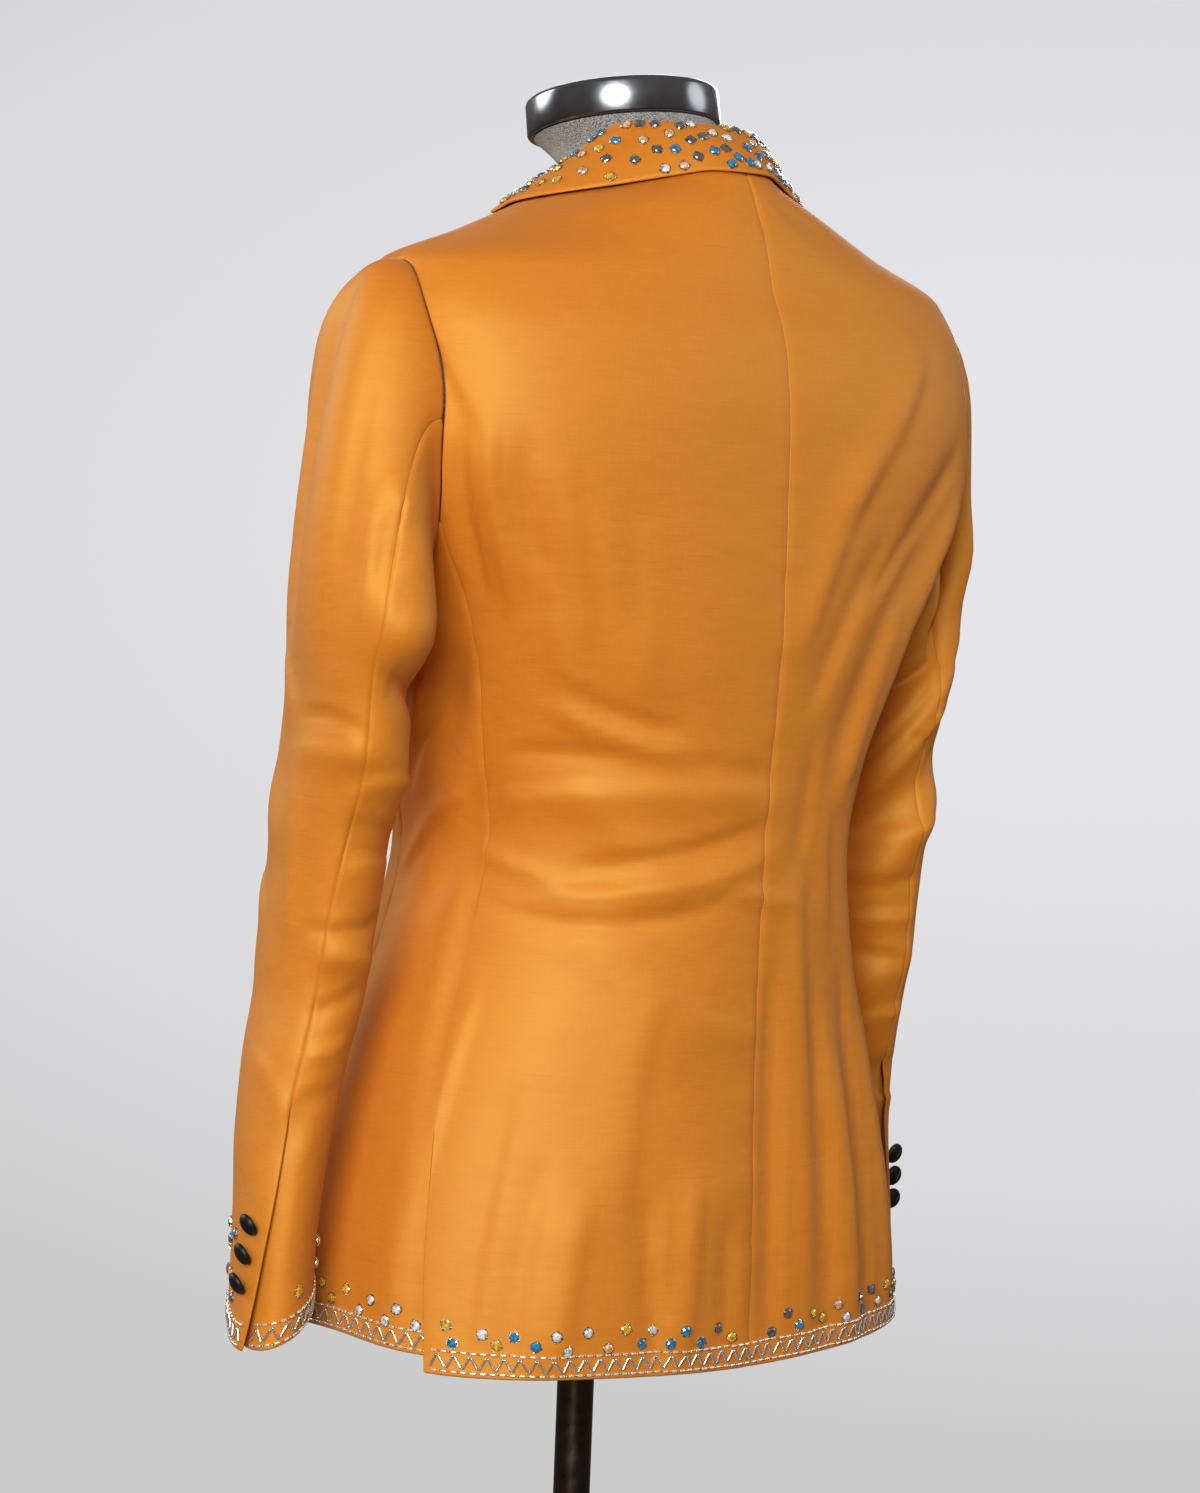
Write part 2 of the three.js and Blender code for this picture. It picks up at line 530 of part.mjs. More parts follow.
function shawlCollar() {
  const lapelRows = FRONT_ROWS.filter(z => z >= BREAK);
  const path = [
    ...lapelRows.map(z => ({ turn: frontEdge(z), z, lapel: true })),
    ...NECK_TURNS.map(turn => ({ turn, z: rollHeight(mirrorTurn(turn)), lapel: false })),
    ...lapelRows.filter(z => z >= RIGHT_BREAK).reverse().map(z => ({ turn: 180 - frontEdge(z), z, lapel: true })),
  ];
  const roll = path.map(({ turn, z }) => torso(turn, z));
  const outer = path.map(({ turn, z, lapel }, i) => {
    const tangent = roll[Math.min(i + 1, roll.length - 1)].clone().sub(roll[Math.max(i - 1, 0)]).normalize();
    const normal = torsoNormal(turn, z);
    const past = tangent.clone().cross(normal).normalize();
    if (past.z < 0) past.negate();
    const section = ROLL_SECTION.map(({ along, out }) =>
      roll[i].clone().addScaledVector(past, along).addScaledVector(normal, out));
    const start = section[section.length - 1];
    const edge = lapel
      ? underPoint(roll[i].clone().addScaledVector(past, -lapelWidth(z, turn > 180)))
      : { turn, z: at(FALL, 'turn', 'z', mirrorTurn(turn)) };
    const edgeNormal = torsoNormal(edge.turn, edge.z);
    const end = torso(edge.turn, edge.z).addScaledVector(edgeNormal, lapel ? 3.6 : 4);
    const belly = start.clone().add(end).multiplyScalar(0.5)
      .addScaledVector(normal.clone().add(edgeNormal).normalize(), lapel ? 5 : 4.5);
    return [...section, ...FALL_STEPS.map(t => start.clone().multiplyScalar((1 - t) ** 2)
      .addScaledVector(belly, 2 * t * (1 - t)).addScaledVector(end, t * t))];
  });
  return wall(outer, thicken(outer));
}

// ---------------------------------------------------------------- buttons
function buttonGeometry(radius, rise) {
  const profile = [[0, 0], [0.93, 0], [1, 0.14], [0.97, 0.4], [0.8, 0.74], [0.45, 0.95], [0, 1]];
  const shape = profile.map(([r, h]) => new THREE.Vector2(r * radius, h * rise));
  return new THREE.LatheGeometry(shape, 14).rotateX(Math.PI / 2);
}

// ---------------------------------------------------------------- dress form and stand
const FORM_FIT = table('z gap',
  [860, 42], [950, 26], [1085, 13], [1235, 13], [1340, 11], [1400, 9], [1431, 5.5], [1440, 3.9], [1450, 3.15], [1493, 3.15], [NECK, 7]);
const FORM_NECK = table('z halfWidth back front',
  [1514, 46, 80, -38], [1526, 49, 70, -48], [1537, 58, 60, -57]);
const FORM_ROWS = [860, 900, 950, 1005, 1052, 1100, 1165, 1235, 1285, 1345, 1400, 1431, 1440, 1450, 1463, 1478, 1493, NECK];
const FORM_SIDES = 30;
const NECK_TILT = 0.16;        // the neck's top leans down towards the front
const CAP = { radius: 62, wall: 23, dome: 4 };

function formBody() {
  const turns = Array.from({ length: FORM_SIDES }, (_, k) => k * 360 / FORM_SIDES);
  const rings = FORM_ROWS.map(z => turns.map(turn => {
    const point = torso(turn, z, []).addScaledVector(torsoNormal(turn, z, []), -at(FORM_FIT, 'z', 'gap', z));
    return point.setZ(z < ARMHOLE.top - 20 ? z : point.z);
  }));
  for (const { z, halfWidth, back, front } of FORM_NECK) {
    const tilt = NECK_TILT * (z - NECK) / (FORM_NECK[FORM_NECK.length - 1].z - NECK);
    rings.push(turns.map(turn => {
      const a = radians(turn), y = (back - front) / 2 * Math.sin(a);
      return new THREE.Vector3(halfWidth * Math.cos(a), (back + front) / 2 + y, z + tilt * y);
    }));
  }
  return loft(rings);
}

function neckCap() {
  const { radius, wall: height, dome } = CAP;
  const profile = [[0, 0], [radius - 1, 0], [radius, 1], [radius, height - 3], [radius - 1, height - 1],
    [radius - 3, height], [radius * 0.5, height + dome * 0.8], [0, height + dome]];
  return new THREE.LatheGeometry(profile.map(([r, h]) => new THREE.Vector2(r, h)), 36).rotateX(Math.PI / 2);
}

function standBase() {
  const { radius, thick, dome } = BASE;
  const profile = [[0, 0], [radius, 0], [radius, thick - 5], [radius - 5, thick], [radius * 0.4, thick + dome * 0.6],
    [POLE_RADIUS * 2, thick + dome], [0, thick + dome]];
  return new THREE.LatheGeometry(profile.map(([r, h]) => new THREE.Vector2(r, h)), 40).rotateX(Math.PI / 2);
}

// ---------------------------------------------------------------- the object
const CLOTH_LOOK = { color: 0xc8873a, roughness: 0.55, metalness: 0 };
const SATIN_LOOK = { color: 0x0b0b0d, roughness: 0.4, metalness: 0 };
const KNIT_LOOK = { color: 0x8c8b8a, roughness: 0.95, metalness: 0 };
const CAP_LOOK = { color: 0x3a3c42, roughness: 0.2, metalness: 1 };
const STAND_LOOK = { color: 0x1e1814, roughness: 0.3, metalness: 1 };

const blazer = new THREE.Group();
function add(name, geometry, look) {
  const mesh = new THREE.Mesh(geometry, new THREE.MeshStandardMaterial(look));
  mesh.name = name;
  blazer.add(mesh);
  return mesh;
}

// Places a button's flat back just off the cloth, its dome along the normal.
function addButton(name, point, normal, size) {
  const mesh = add(name, buttonGeometry(size.radius, size.rise), SATIN_LOOK);
  mesh.position.copy(point).addScaledVector(normal, SEAM + 0.25);
  mesh.quaternion.setFromUnitVectors(new THREE.Vector3(0, 0, 1), normal);
}

const CUFF_BUTTONS = { low: 836, part: 0.91 };   // height of the lowest, and place across the topsleeve
for (const [word, side] of [['left', 1], ['right', -1]]) {
  add(`back_${word}`, backPanel(side), CLOTH_LOOK);
  add(`side_${word}`, sidePanel(side), CLOTH_LOOK);
  add(`front_${word}`, frontPanel(side), CLOTH_LOOK);
  add(`topsleeve_${word}`, sleevePiece(side, TOPSLEEVE), CLOTH_LOOK);
  add(`undersleeve_${word}`, sleevePiece(side, UNDERSLEEVE), CLOTH_LOOK);
  for (let k = 0; k < 3; k++) {
    const z = CUFF_BUTTONS.low + k * BUTTON.pitch, f = CUFF_BUTTONS.part;
    const place = (across, up) => armPoint(TOPSLEEVE, word, f + across, z + up);
    const point = place(0, 0);
    const normal = place(0.01, 0).sub(place(-0.01, 0)).cross(place(0, 2).sub(place(0, -2))).normalize();
    if (side < 0) [point, normal].forEach(v => v.setX(-v.x));
    addButton(`cuff_button_${word}_${k + 1}`, point, normal, BUTTON);
  }
}
add('collar_stand', collarStand(), CLOTH_LOOK);
add('shawl_collar', shawlCollar(), CLOTH_LOOK);
addButton('front_button', torso(270, BUTTON_HEIGHT), torsoNormal(270, BUTTON_HEIGHT), { radius: 10.5, rise: 6.5 });

const formBottom = FORM_ROWS[0], neckTop = FORM_NECK[FORM_NECK.length - 1];
add('form_body', formBody(), KNIT_LOOK);
const cap = add('neck_cap', neckCap(), CAP_LOOK);
cap.position.set(0, (neckTop.back + neckTop.front) / 2, neckTop.z + SEAM + 0.3);
cap.rotation.x = Math.atan(NECK_TILT);
const poleLength = formBottom - BASE.thick - BASE.dome - 2 * SEAM;
const pole = add('pole', new THREE.CylinderGeometry(POLE_RADIUS, POLE_RADIUS, poleLength, 28).rotateX(Math.PI / 2), STAND_LOOK);
pole.position.z = BASE.thick + BASE.dome + SEAM + poleLength / 2;
add('stand_base', standBase(), STAND_LOOK);

export default blazer;
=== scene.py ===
# Shot-satin blazer with beaded edges on a limbless dress form. Metres in Blender; the tables below are in
# millimetres, +Z up. The wearer's left is +X, the front faces -Y.
import math

import bpy
import numpy as np
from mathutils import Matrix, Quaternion, Vector


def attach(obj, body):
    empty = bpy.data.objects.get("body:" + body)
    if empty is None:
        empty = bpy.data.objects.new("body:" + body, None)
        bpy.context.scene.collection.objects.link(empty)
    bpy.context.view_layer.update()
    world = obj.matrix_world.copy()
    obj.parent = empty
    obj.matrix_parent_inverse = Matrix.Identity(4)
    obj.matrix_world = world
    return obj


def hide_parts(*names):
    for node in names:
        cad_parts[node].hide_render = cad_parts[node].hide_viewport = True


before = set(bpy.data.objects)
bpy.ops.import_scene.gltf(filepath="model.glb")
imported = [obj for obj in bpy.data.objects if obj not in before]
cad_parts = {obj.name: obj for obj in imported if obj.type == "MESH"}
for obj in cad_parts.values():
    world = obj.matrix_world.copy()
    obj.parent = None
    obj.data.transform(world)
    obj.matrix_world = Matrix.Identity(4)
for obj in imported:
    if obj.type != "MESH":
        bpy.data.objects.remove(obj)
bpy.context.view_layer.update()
MM = 0.001


# ------------------------------------------------------------------ tables
def table(names, *rows):
    values = np.array(rows, float)
    return {name: values[:, i] for i, name in enumerate(names.split())}


CLOTH = 1.7                    # wall of the lined cloth
HEM = 770                      # height of the hem at the centre back
HEM_RISE_SIDE, HEM_RISE_FRONT, HEM_BLEND = 4, 18, 235
VENT_TOP, VENT_LAP = 1060, 30  # top of the side vents, width of the lap under the back panel
LAP_SINK, VENT_FLARE = 3.5, 3  # how far laps lie below and the back's vent edge stands off
LAP_LIFT = 9                   # the side panel's hem hangs higher than the back's at the vent
ARM_BOTTOM, ARM_TOP, ARM_HALF_TURN = 1235, 1440, 29
BUTTON_HEIGHT = 1098           # the front's closing button
BREAK = 1130                   # where the left lapel begins to roll
FRONT_LAP, CLOSING_SINK = 10, CLOTH + 1.5
QUARTER_TOP, QUARTER_TALL, QUARTER_INSET = 1060, 295, 84
NECK, ROLL, ROLL_TOP_X = 1508, 1531, 47
CUFF, CUFF_VENT = 800, 120
VENT_END = CUFF + CUFF_VENT
CUFF_LAP_TURN, CUFF_FLARE = 18, 7
BUTTON_PITCH, BUTTON_LOW, BUTTON_PART = 14.9, 836, 0.91
BUTTON_RADIUS, BUTTON_RISE, FRONT_BUTTON_RADIUS, FRONT_BUTTON_RISE = 7.3, 5.5, 10.5, 6.5
SHANK, BUTTON_HANG = 2.9, 0.75 # how far a cuff button stands off, and how much it tips down
POLE_RADIUS = 12
BASE_RADIUS, BASE_THICK, BASE_DOME = 190, 14, 10
FORM_BOTTOM, NECK_TOP, NECK_TILT = 860, 1537, 0.16
CAP_RADIUS, CAP_HEIGHT, CAP_LIFT, CAP_Y = 62, 27, 0.6, 0.5
SIDES = {"left": 1, "right": -1}
BODY_PER_DEGREE = 2.7          # millimetres round the body for a degree of turn
BODY_SPREAD, SIDE_SPREAD, SLEEVE_SPREAD = 235.0, 120.0, 190.0     # usual widths of pieces laid flat

# Level sections of the worn jacket.
TORSO = table(
    "z half_width back front middle square",
    [770, 208, 160, -166, -4, 2.8],
    [850, 199, 159, -156, 0, 2.7],
    [950, 178, 156, -134, 8, 2.4],
    [1030, 155, 155, -114, 14, 2.3],
    [1085, 146, 156, -105, 18, 2.3],
    [1150, 158, 160, -107, 20, 2.4],
    [1235, 186, 165, -110, 26, 2.7],
    [1340, 228, 164, -98, 40, 2.9],
    [1400, 230, 157, -80, 46, 2.6],
    [1440, 217, 142, -54, 50, 2.25],
    [1465, 158, 135, -42, 50, 1.95],
    [1485, 108, 127, -34, 49, 2.0],
    [1508, 58, 114, -24, 44, 2.0],
    [1545, 58, 72, -32, 20, 2.0],
)


def folds(text):
    """Folds, one to a line: from turn and height, to turn and height, width, depth and maybe bend.

    Turns are in degrees, 0 at the left side and 90 at the centre back. A trough's depth is negative. Bend is
    how far the middle of the fold is carried up or down.
    """
    rows = [line.split() for line in text.strip().splitlines()]
    return table("turn_a z_a turn_b z_b width depth bend", *[[*row, 0][:7] for row in rows])


BODY_FOLDS = folds("""
    142 1330 121 1130 16 6
    132 1330 112 1140 14 -4
    121 1130 128 980 18 4
    24 1255 2 1130 14 -5
    20 1130 -4 1040 15 -4
    36 1280 44 1170 11 3
    52 1290 58 1180 12 2.5
    40 1130 66 1060 16 3
    44 1050 74 960 18 3
    52 890 50 770 20 4
    80 900 82 770 22 3
    112 960 116 770 18 3
    134 980 138 770 18 5
    152 1000 156 770 20 5
    -60 1000 -50 770 20 3
    240 1000 230 770 20 3
""")
# Smaller creases that only the cloth shows, each with one flank steeper.
LEAN = 0.55
BODY_CREASES = folds("""
    30 1336 26 1245 6 -2.2
    36 1342 33 1238 6 2.0
    43 1332 38 1222 7 -1.9
    49 1322 46 1212 8 1.5
    60 1300 56 1215 8 -1.0
    14 1418 34 1330 10 -1.3
    100 1488 120 1478 9 -1.2
    60 1486 30 1474 8 0.9
    40 1192 64 1166 7 -1.9 -4
    37 1178 68 1150 8 1.8 -4
    26 1148 60 1144 8 -1.6 4
    62 1150 90 1138 7 -1.2
    20 1118 90 1124 11 1.8 6
    42 1082 89 1107 8 -2.4 -4
    34 1064 89 1086 8 2.2 -6
    20 1054 78 1060 7 -1.7 -10
    13 1088 38 1070 6 1.4
    80 1066 100 1058 6 1.6
    60 1010 92 975 10 1.2 -6
    122 1402 104 1300 10 2.4
    108 1335 96 1215 9 2.2
    134 1342 114 1245 8 -2.6
    116 1292 101 1180 9 -2.2
    126 1245 117 1120 8 2.2
    138 1310 133 1235 6 1.8
    146 1300 134 1190 6 -2.0 5
    112 1112 115 1035 9 1.6
    104 1160 103 1075 8 -1.4
    12 1236 -8 1150 6 2.2
    16 1216 -12 1196 5 1.8
    14 1186 -14 1120 6 -2.2 5
    10 1120 -16 1070 7 2.0 5
    -4 1240 -20 1180 7 -2.0
    95 1012 95 778 8 -2.8
    103 1080 104 778 9 2.2
    109 1010 110 778 6 -2.2
    115 960 117 778 7 2.0
    122 1015 122 778 8 -2.6
    129 985 131 782 7 2.4
    137 960 140 790 8 -2.2
    62 1000 60 870 14 1.6
    66 885 70 778 7 -2.6
    76 890 75 778 7 2.6
    84 865 84 778 7 -2.0
    54 880 52 778 8 1.8
    46 905 44 778 7 -1.6
    37 945 36 790 8 -1.3
    22 1000 20 800 12 1.8
    150 1462 168 1440 8 -1.2
    -40 1240 -30 1150 9 -2.2
    -34 1290 -44 1200 9 1.9
    -82 1104 -50 1150 8 2.2
    -82 1092 -46 1100 7 1.8 -4
    -82 1084 -52 1050 7 -1.9
    262 1104 232 1148 8 2.2
    262 1090 228 1096 7 1.8 -4
    262 1084 234 1048 7 -1.9
    220 1240 212 1150 9 -2.2
    214 1290 224 1200 9 1.9
    172 1255 186 1150 7 -2.4
    180 1180 196 1100 7 2.0
    170 1110 190 1070 7 -1.8
    176 1060 184 900 9 1.8
    160 1000 162 800 10 -2.2
    214 900 212 785 9 2.0
    236 900 238 785 9 -1.8
    -40 960 -44 790 10 -2.0
    -20 900 -22 785 9 2.0
    -64 900 -66 790 9 1.6
""")

SLEEVE = {
    "left": table(
        "z x y depth width turn",
        [1205, 227, 30, 77, 36, 25],
        [1125, 222, 11, 70, 35, 26],
        [1065, 220, -2, 66, 34, 27],
        [1005, 221, -11, 62, 33, 28],
        [957, 231, -11, 58, 31, 29],
        [910, 238, -11, 55, 29, 31],
        [862, 243, -9, 52, 26, 32],
        [800, 245, -9, 50, 25, 33],
    ),
    "right": table(
        "z x y depth width turn",
        [1205, 222, 20, 75, 37, -8],
        [1106, 219, 17, 69, 35, -10],
        [971, 220, 6, 59, 32, -8],
        [890, 230, -10, 54, 28, -2],
        [800, 244, -20, 50, 25, 4],
    ),
}
SLEEVE_FOLDS = {
    "left": folds("""
        60 1310 130 1268 16 6
        70 1262 150 1236 13 -5
        50 1235 130 1200 15 5
        95 1190 175 1178 12 -7
        60 1160 150 1130 16 5
        80 1095 160 1080 14 -4
        -30 1240 40 1200 18 4
        -60 1130 20 1090 18 3
        70 1040 140 1020 14 4
    """),
    "right": folds("""
        50 1290 150 1200 16 7
        50 1245 150 1160 13 -6
        50 1210 150 1120 15 6
        45 1150 150 1085 15 -4.5
        40 1120 140 1050 16 6
        -30 1240 40 1200 18 4
        60 1010 140 980 16 4
    """),
}
SLEEVE_CREASES = {
    "left": folds("""
        62 1292 66 1236 6 2.4
        74 1290 150 1262 6 -2.8 5
        80 1262 150 1244 6 2.0 4
        84 1238 150 1226 5 -2.6 4
        76 1212 150 1206 7 2.2
        24 1170 84 1161 5 -2.0 3
        22 1150 90 1146 9 1.5
        98 1196 150 1186 6 -2.8
        80 1126 160 1128 7 2.4 4
        84 1106 160 1096 6 -2.0 3
        90 1082 160 1078 7 1.7
        62 1042 146 1048 5 -2.6 -4
        76 1024 146 1018 7 2.0 3
        78 992 130 1004 6 -2.2
        84 966 130 972 6 1.8
        90 940 140 944 7 -1.6
        30 960 80 925 9 1.2 6
        24 1140 46 1030 9 1.6
        -20 1290 20 1250 9 1.2
        -50 1215 10 1168 10 1.6 6
        -70 1080 0 1040 9 1.6 6
        190 1190 240 1160 8 -2.2
        190 1120 250 1085 8 2.0
        200 1060 250 1030 8 -1.8
    """),
    "right": folds("""
        60 1322 118 1254 4 -2.2
        78 1334 112 1268 4 1.8
        56 1286 92 1262 4 -1.8
        54 1228 150 1214 5 2.0
        76 1210 150 1180 5 -3.2
        96 1208 148 1192 4 1.6
        82 1196 150 1126 5 -3.2 4
        70 1176 140 1108 6 2.6 4
        60 1140 106 1158 4 -1.5
        60 1098 150 1084 7 2.0
        70 1062 150 1052 6 -2.0
        70 1036 140 1030 7 1.8
        80 1004 136 1010 5 -2.1
        66 970 126 962 6 1.9
        62 934 120 926 7 -1.7
        60 905 110 906 5 1.5
        -30 1300 20 1262 8 1.6
        -50 1236 10 1200 7 -1.8 6
        -40 1180 30 1130 10 1.6 6
        -60 1090 10 1050 9 1.6 6
        -40 1010 20 985 8 -1.6 4
        190 1190 240 1150 8 -2.0
        190 1100 250 1060 8 1.8
    """),
}
CREASE_WIDTH, CREASE_DEPTH = 0.82, 1.5      # shares of the widths and depths in the two crease tables
for creases in (BODY_CREASES, *SLEEVE_CREASES.values()):
    creases["width"] = creases["width"] * CREASE_WIDTH
    creases["depth"] = creases["depth"] * CREASE_DEPTH


# ------------------------------------------------------------------ interpolation and surfaces
def at(rows, name, value, key="z"):
    """Smooth value of a column that never overshoots its rows."""
    x, y = rows[key], rows[name]
    if x[0] > x[-1]:
        x, y = x[::-1], y[::-1]
    h, d = np.diff(x), np.diff(y) / np.diff(x)
    mean = (d[:-1] * h[1:] + d[1:] * h[:-1]) / (h[:-1] + h[1:])
    least = np.minimum(np.minimum(abs(d[:-1]), abs(d[1:])), abs(mean) / 2)
    m = np.concatenate([d[:1], (np.sign(d[:-1]) + np.sign(d[1:])) * least, d[-1:]])
    v = np.clip(value, x[0], x[-1])
    i = np.clip(np.searchsorted(x, v) - 1, 0, len(x) - 2)
    t = (v - x[i]) / h[i]
    return (
        (2 * t**3 - 3 * t**2 + 1) * y[i]
        + (t**3 - 2 * t**2 + t) * h[i] * m[i]
        + (3 * t**2 - 2 * t**3) * y[i + 1]
        + (t**3 - t**2) * h[i] * m[i + 1]
    )


def smooth(x, lo, hi):
    t = np.clip((x - lo) / (hi - lo), 0, 1)
    return t * t * (3 - 2 * t)


def lerp(a, b, t):
    return a + (b - a) * t


def fold_height(rows, turn, z, per_degree, lean=0.0):
    """Height of soft folds over the form. Lean makes one flank of each fold steeper than the other."""
    turn, z = np.broadcast_arrays(turn, z)
    height = np.zeros(z.shape)
    for ta, za, tb, zb, width, depth, bend in zip(*rows.values()):
        ax, az = (turn - ta) * per_degree, z - za
        bx, bz = (tb - ta) * per_degree, zb - za
        along = np.clip((ax * bx + az * bz) / (bx * bx + bz * bz), 0, 1)
        az = az - bend * 4 * along * (1 - along)
        flank = 1 + lean * np.tanh((ax * bz - az * bx) / np.hypot(bx, bz) / width * 2)
        away = ((ax - along * bx) ** 2 + (az - along * bz) ** 2) / (width * flank) ** 2
        height += depth * (1 - (2 * along - 1) ** 4 * 0.7) * np.exp(-away)
    return height


def super_round(a, square):
    return (abs(np.cos(a)) ** square + abs(np.sin(a)) ** square) ** (-1 / square)


def torso(turn, z, folded=True):
    turn, z = np.broadcast_arrays(np.asarray(turn, float), np.asarray(z, float))
    w, back, front, middle, square = (at(TORSO, n, z) for n in "half_width back front middle square".split())
    a = np.radians(turn)
    g = super_round(a, square)
    depth = np.where(np.sin(a) > 0, back - middle, middle - front)
    out = fold_height(BODY_FOLDS, turn, z, BODY_PER_DEGREE) if folded else 0
    return np.stack([(w * g + out) * np.cos(a), middle + (depth * g + out) * np.sin(a), z], -1)


def unit(v):
    return v / np.maximum(np.linalg.norm(v, axis=-1, keepdims=True), 1e-9)


def torso_normal(turn, z, folded=True):
    across = torso(turn + 0.4, z, folded) - torso(turn - 0.4, z, folded)
    up = torso(turn, z + 0.8, folded) - torso(turn, z - 0.8, folded)
    return unit(np.cross(across, up))


def front_turn(x, z):
    w, square = at(TORSO, "half_width", z), at(TORSO, "square", z)
    across = x / w
    return -np.degrees(np.arctan2((1 - abs(across) ** square) ** (1 / square), across))


def hem_height(turn):
    return HEM + HEM_RISE_SIDE * (1 - smooth(turn, 50, 90)) + HEM_RISE_FRONT * (1 - smooth(turn, -60, 40))


def row_height(row, turn, lift=0):
    fade = np.clip(1 - (row - HEM) / HEM_BLEND, 0, 1)
    return row + (hem_height(turn) + lift - HEM) * fade**1.5


# ------------------------------------------------------------------ seam lines
def armhole(round_):
    a = np.radians(round_)
    z = (ARM_TOP + ARM_BOTTOM) / 2 + (ARM_TOP - ARM_BOTTOM) / 2 * np.cos(a)
    middle = lerp(-6, -2, smooth(z, ARM_BOTTOM, ARM_TOP))
    return middle + ARM_HALF_TURN * np.sin(a), z


def armhole_round(z, side):
    level = np.clip((2 * z - ARM_TOP - ARM_BOTTOM) / (ARM_TOP - ARM_BOTTOM), -1, 1)
    r = np.degrees(np.arccos(level))
    return r if side > 0 else 360 - r


def armhole_turn(z, side):
    return armhole(armhole_round(z, side))[0]


BACK_JOINT, FRONT_JOINT, SIDE_TOP = 1285.0, 1260.0, 1200.0
SIDE_BACK = table(
    "z turn", [HEM, 29], [900, 23], [1050, 16], [1130, 17], [1200, 20],
    [BACK_JOINT, armhole_turn(BACK_JOINT, 1)],
)
SIDE_FRONT = table(
    "z turn", [HEM, -30], [900, -27], [1050, -22], [1130, -24], [1200, -26],
    [FRONT_JOINT, armhole_turn(FRONT_JOINT, -1)],
)


def panel_side(z, seam, joint, side):
    low = at(seam, "turn", z)
    return np.where(z <= joint, low, np.where(z < ARM_TOP, armhole_turn(z, side), -2.0))


def side_back(z):
    return panel_side(z, SIDE_BACK, BACK_JOINT, 1)


def side_front(z):
    return panel_side(z, SIDE_FRONT, FRONT_JOINT, -1)


def front_edge_x(z):
    """The front edge: straight at the closing, a lapel's roll above it and a rounded quarter below."""
    lapel = lerp(-FRONT_LAP, ROLL_TOP_X, (np.clip(z - BREAK, 0, None) / (NECK - BREAK)) ** 0.92)
    drop = np.clip((QUARTER_TOP - z) / QUARTER_TALL, 0, 1)
    return np.where(z >= BREAK, lapel, -FRONT_LAP + QUARTER_INSET * (1 - np.sqrt(1 - drop**2)))


def front_edge(z):
    return front_turn(front_edge_x(z), z)


# ------------------------------------------------------------------ meshes
MATERIALS = {}


def new_mesh(name, points, faces, uv=None, materials=(), slots=None, sharp=None):
    """A named mesh from points in millimetres; faces is a list of index arrays."""
    mesh = bpy.data.meshes.new(name)
    mesh.from_pydata((np.asarray(points) * MM).tolist(), [], [list(map(int, f)) for f in faces])
    if uv is not None:
        layer = mesh.uv_layers.new(name="cloth")
        loops = np.empty(len(mesh.loops), np.int32)
        mesh.loops.foreach_get("vertex_index", loops)
        layer.data.foreach_set("uv", (np.asarray(uv)[loops] * MM).ravel().astype(np.float32))
    for m in materials:
        mesh.materials.append(MATERIALS[m])
    if slots is not None:
        mesh.polygons.foreach_set("material_index", np.asarray(slots, np.int32))
    mesh.shade_smooth()
    if sharp:
        mesh.set_sharp_from_angle(angle=math.radians(sharp))
    obj = bpy.data.objects.new(name, mesh)
    bpy.context.scene.collection.objects.link(obj)
    return obj


def normals_of(grid):
    up = np.gradient(grid, axis=0)
    across = np.gradient(grid, axis=1)
    return unit(np.cross(across, up))


def wall(name, outer, uv, flip=False):
    """Thin cloth wall with rounded edges from a grid of outer points: satin outside, lining inside."""
    rows, cols = outer.shape[:2]
    inner = outer - normals_of(outer) * (-CLOTH if flip else CLOTH)
    n = rows * cols
    ids = np.arange(n).reshape(rows, cols)
    quads = np.stack([ids[:-1, :-1], ids[:-1, 1:], ids[1:, 1:], ids[1:, :-1]], -1).reshape(-1, 4)
    if flip:
        quads = quads[:, ::-1]
    back = quads[:, ::-1] + n
    # the rim's middle line stands off a little, so that the cloth's folded edge is round
    rim = np.concatenate([ids[0, :-1], ids[:-1, -1], ids[-1, :0:-1], ids[:0:-1, 0]])
    inside = np.concatenate([ids[1, :-1], ids[:-1, -2], ids[-2, :0:-1], ids[:0:-1, 1]])
    middle = ((outer + inner) / 2).reshape(-1, 3)
    bulge = middle[rim] + unit(middle[rim] - middle[inside]) * CLOTH * 0.38
    m = 2 * n + np.arange(len(rim))
    next_rim, next_m = np.roll(rim, -1), np.roll(m, -1)
    edges = np.concatenate([
        np.stack([rim, m, next_m, next_rim], -1),
        np.stack([m, rim + n, next_rim + n, next_m], -1),
    ])
    if flip:
        edges = edges[:, ::-1]
    points = np.concatenate([outer.reshape(-1, 3), inner.reshape(-1, 3), bulge])
    flat_uv = uv.reshape(-1, 2)
    uvs = np.concatenate([flat_uv, flat_uv, flat_uv[rim]])
    slots = np.repeat([0, 1, 0], [len(quads), len(back), len(edges)])
    return new_mesh(name, points, np.concatenate([quads, back, edges]), uvs, ["satin", "lining"], slots)


def rings(profile, angles):
    """Circles of points about z, one for each radius and height of a profile."""
    r, z = np.asarray(profile, float).T[:, :, None]
    return np.stack([r * np.cos(angles), r * np.sin(angles), z + 0 * angles], -1)


def ring_faces(count, sides):
    """Faces between rings of points, and the points' numbers."""
    ids = np.arange(count * sides).reshape(count, sides)
    after = np.roll(ids, -1, 1)
    quads = np.stack([ids[:-1], after[:-1], after[1:], ids[1:]], -1).reshape(-1, 4)
    return quads.tolist(), ids


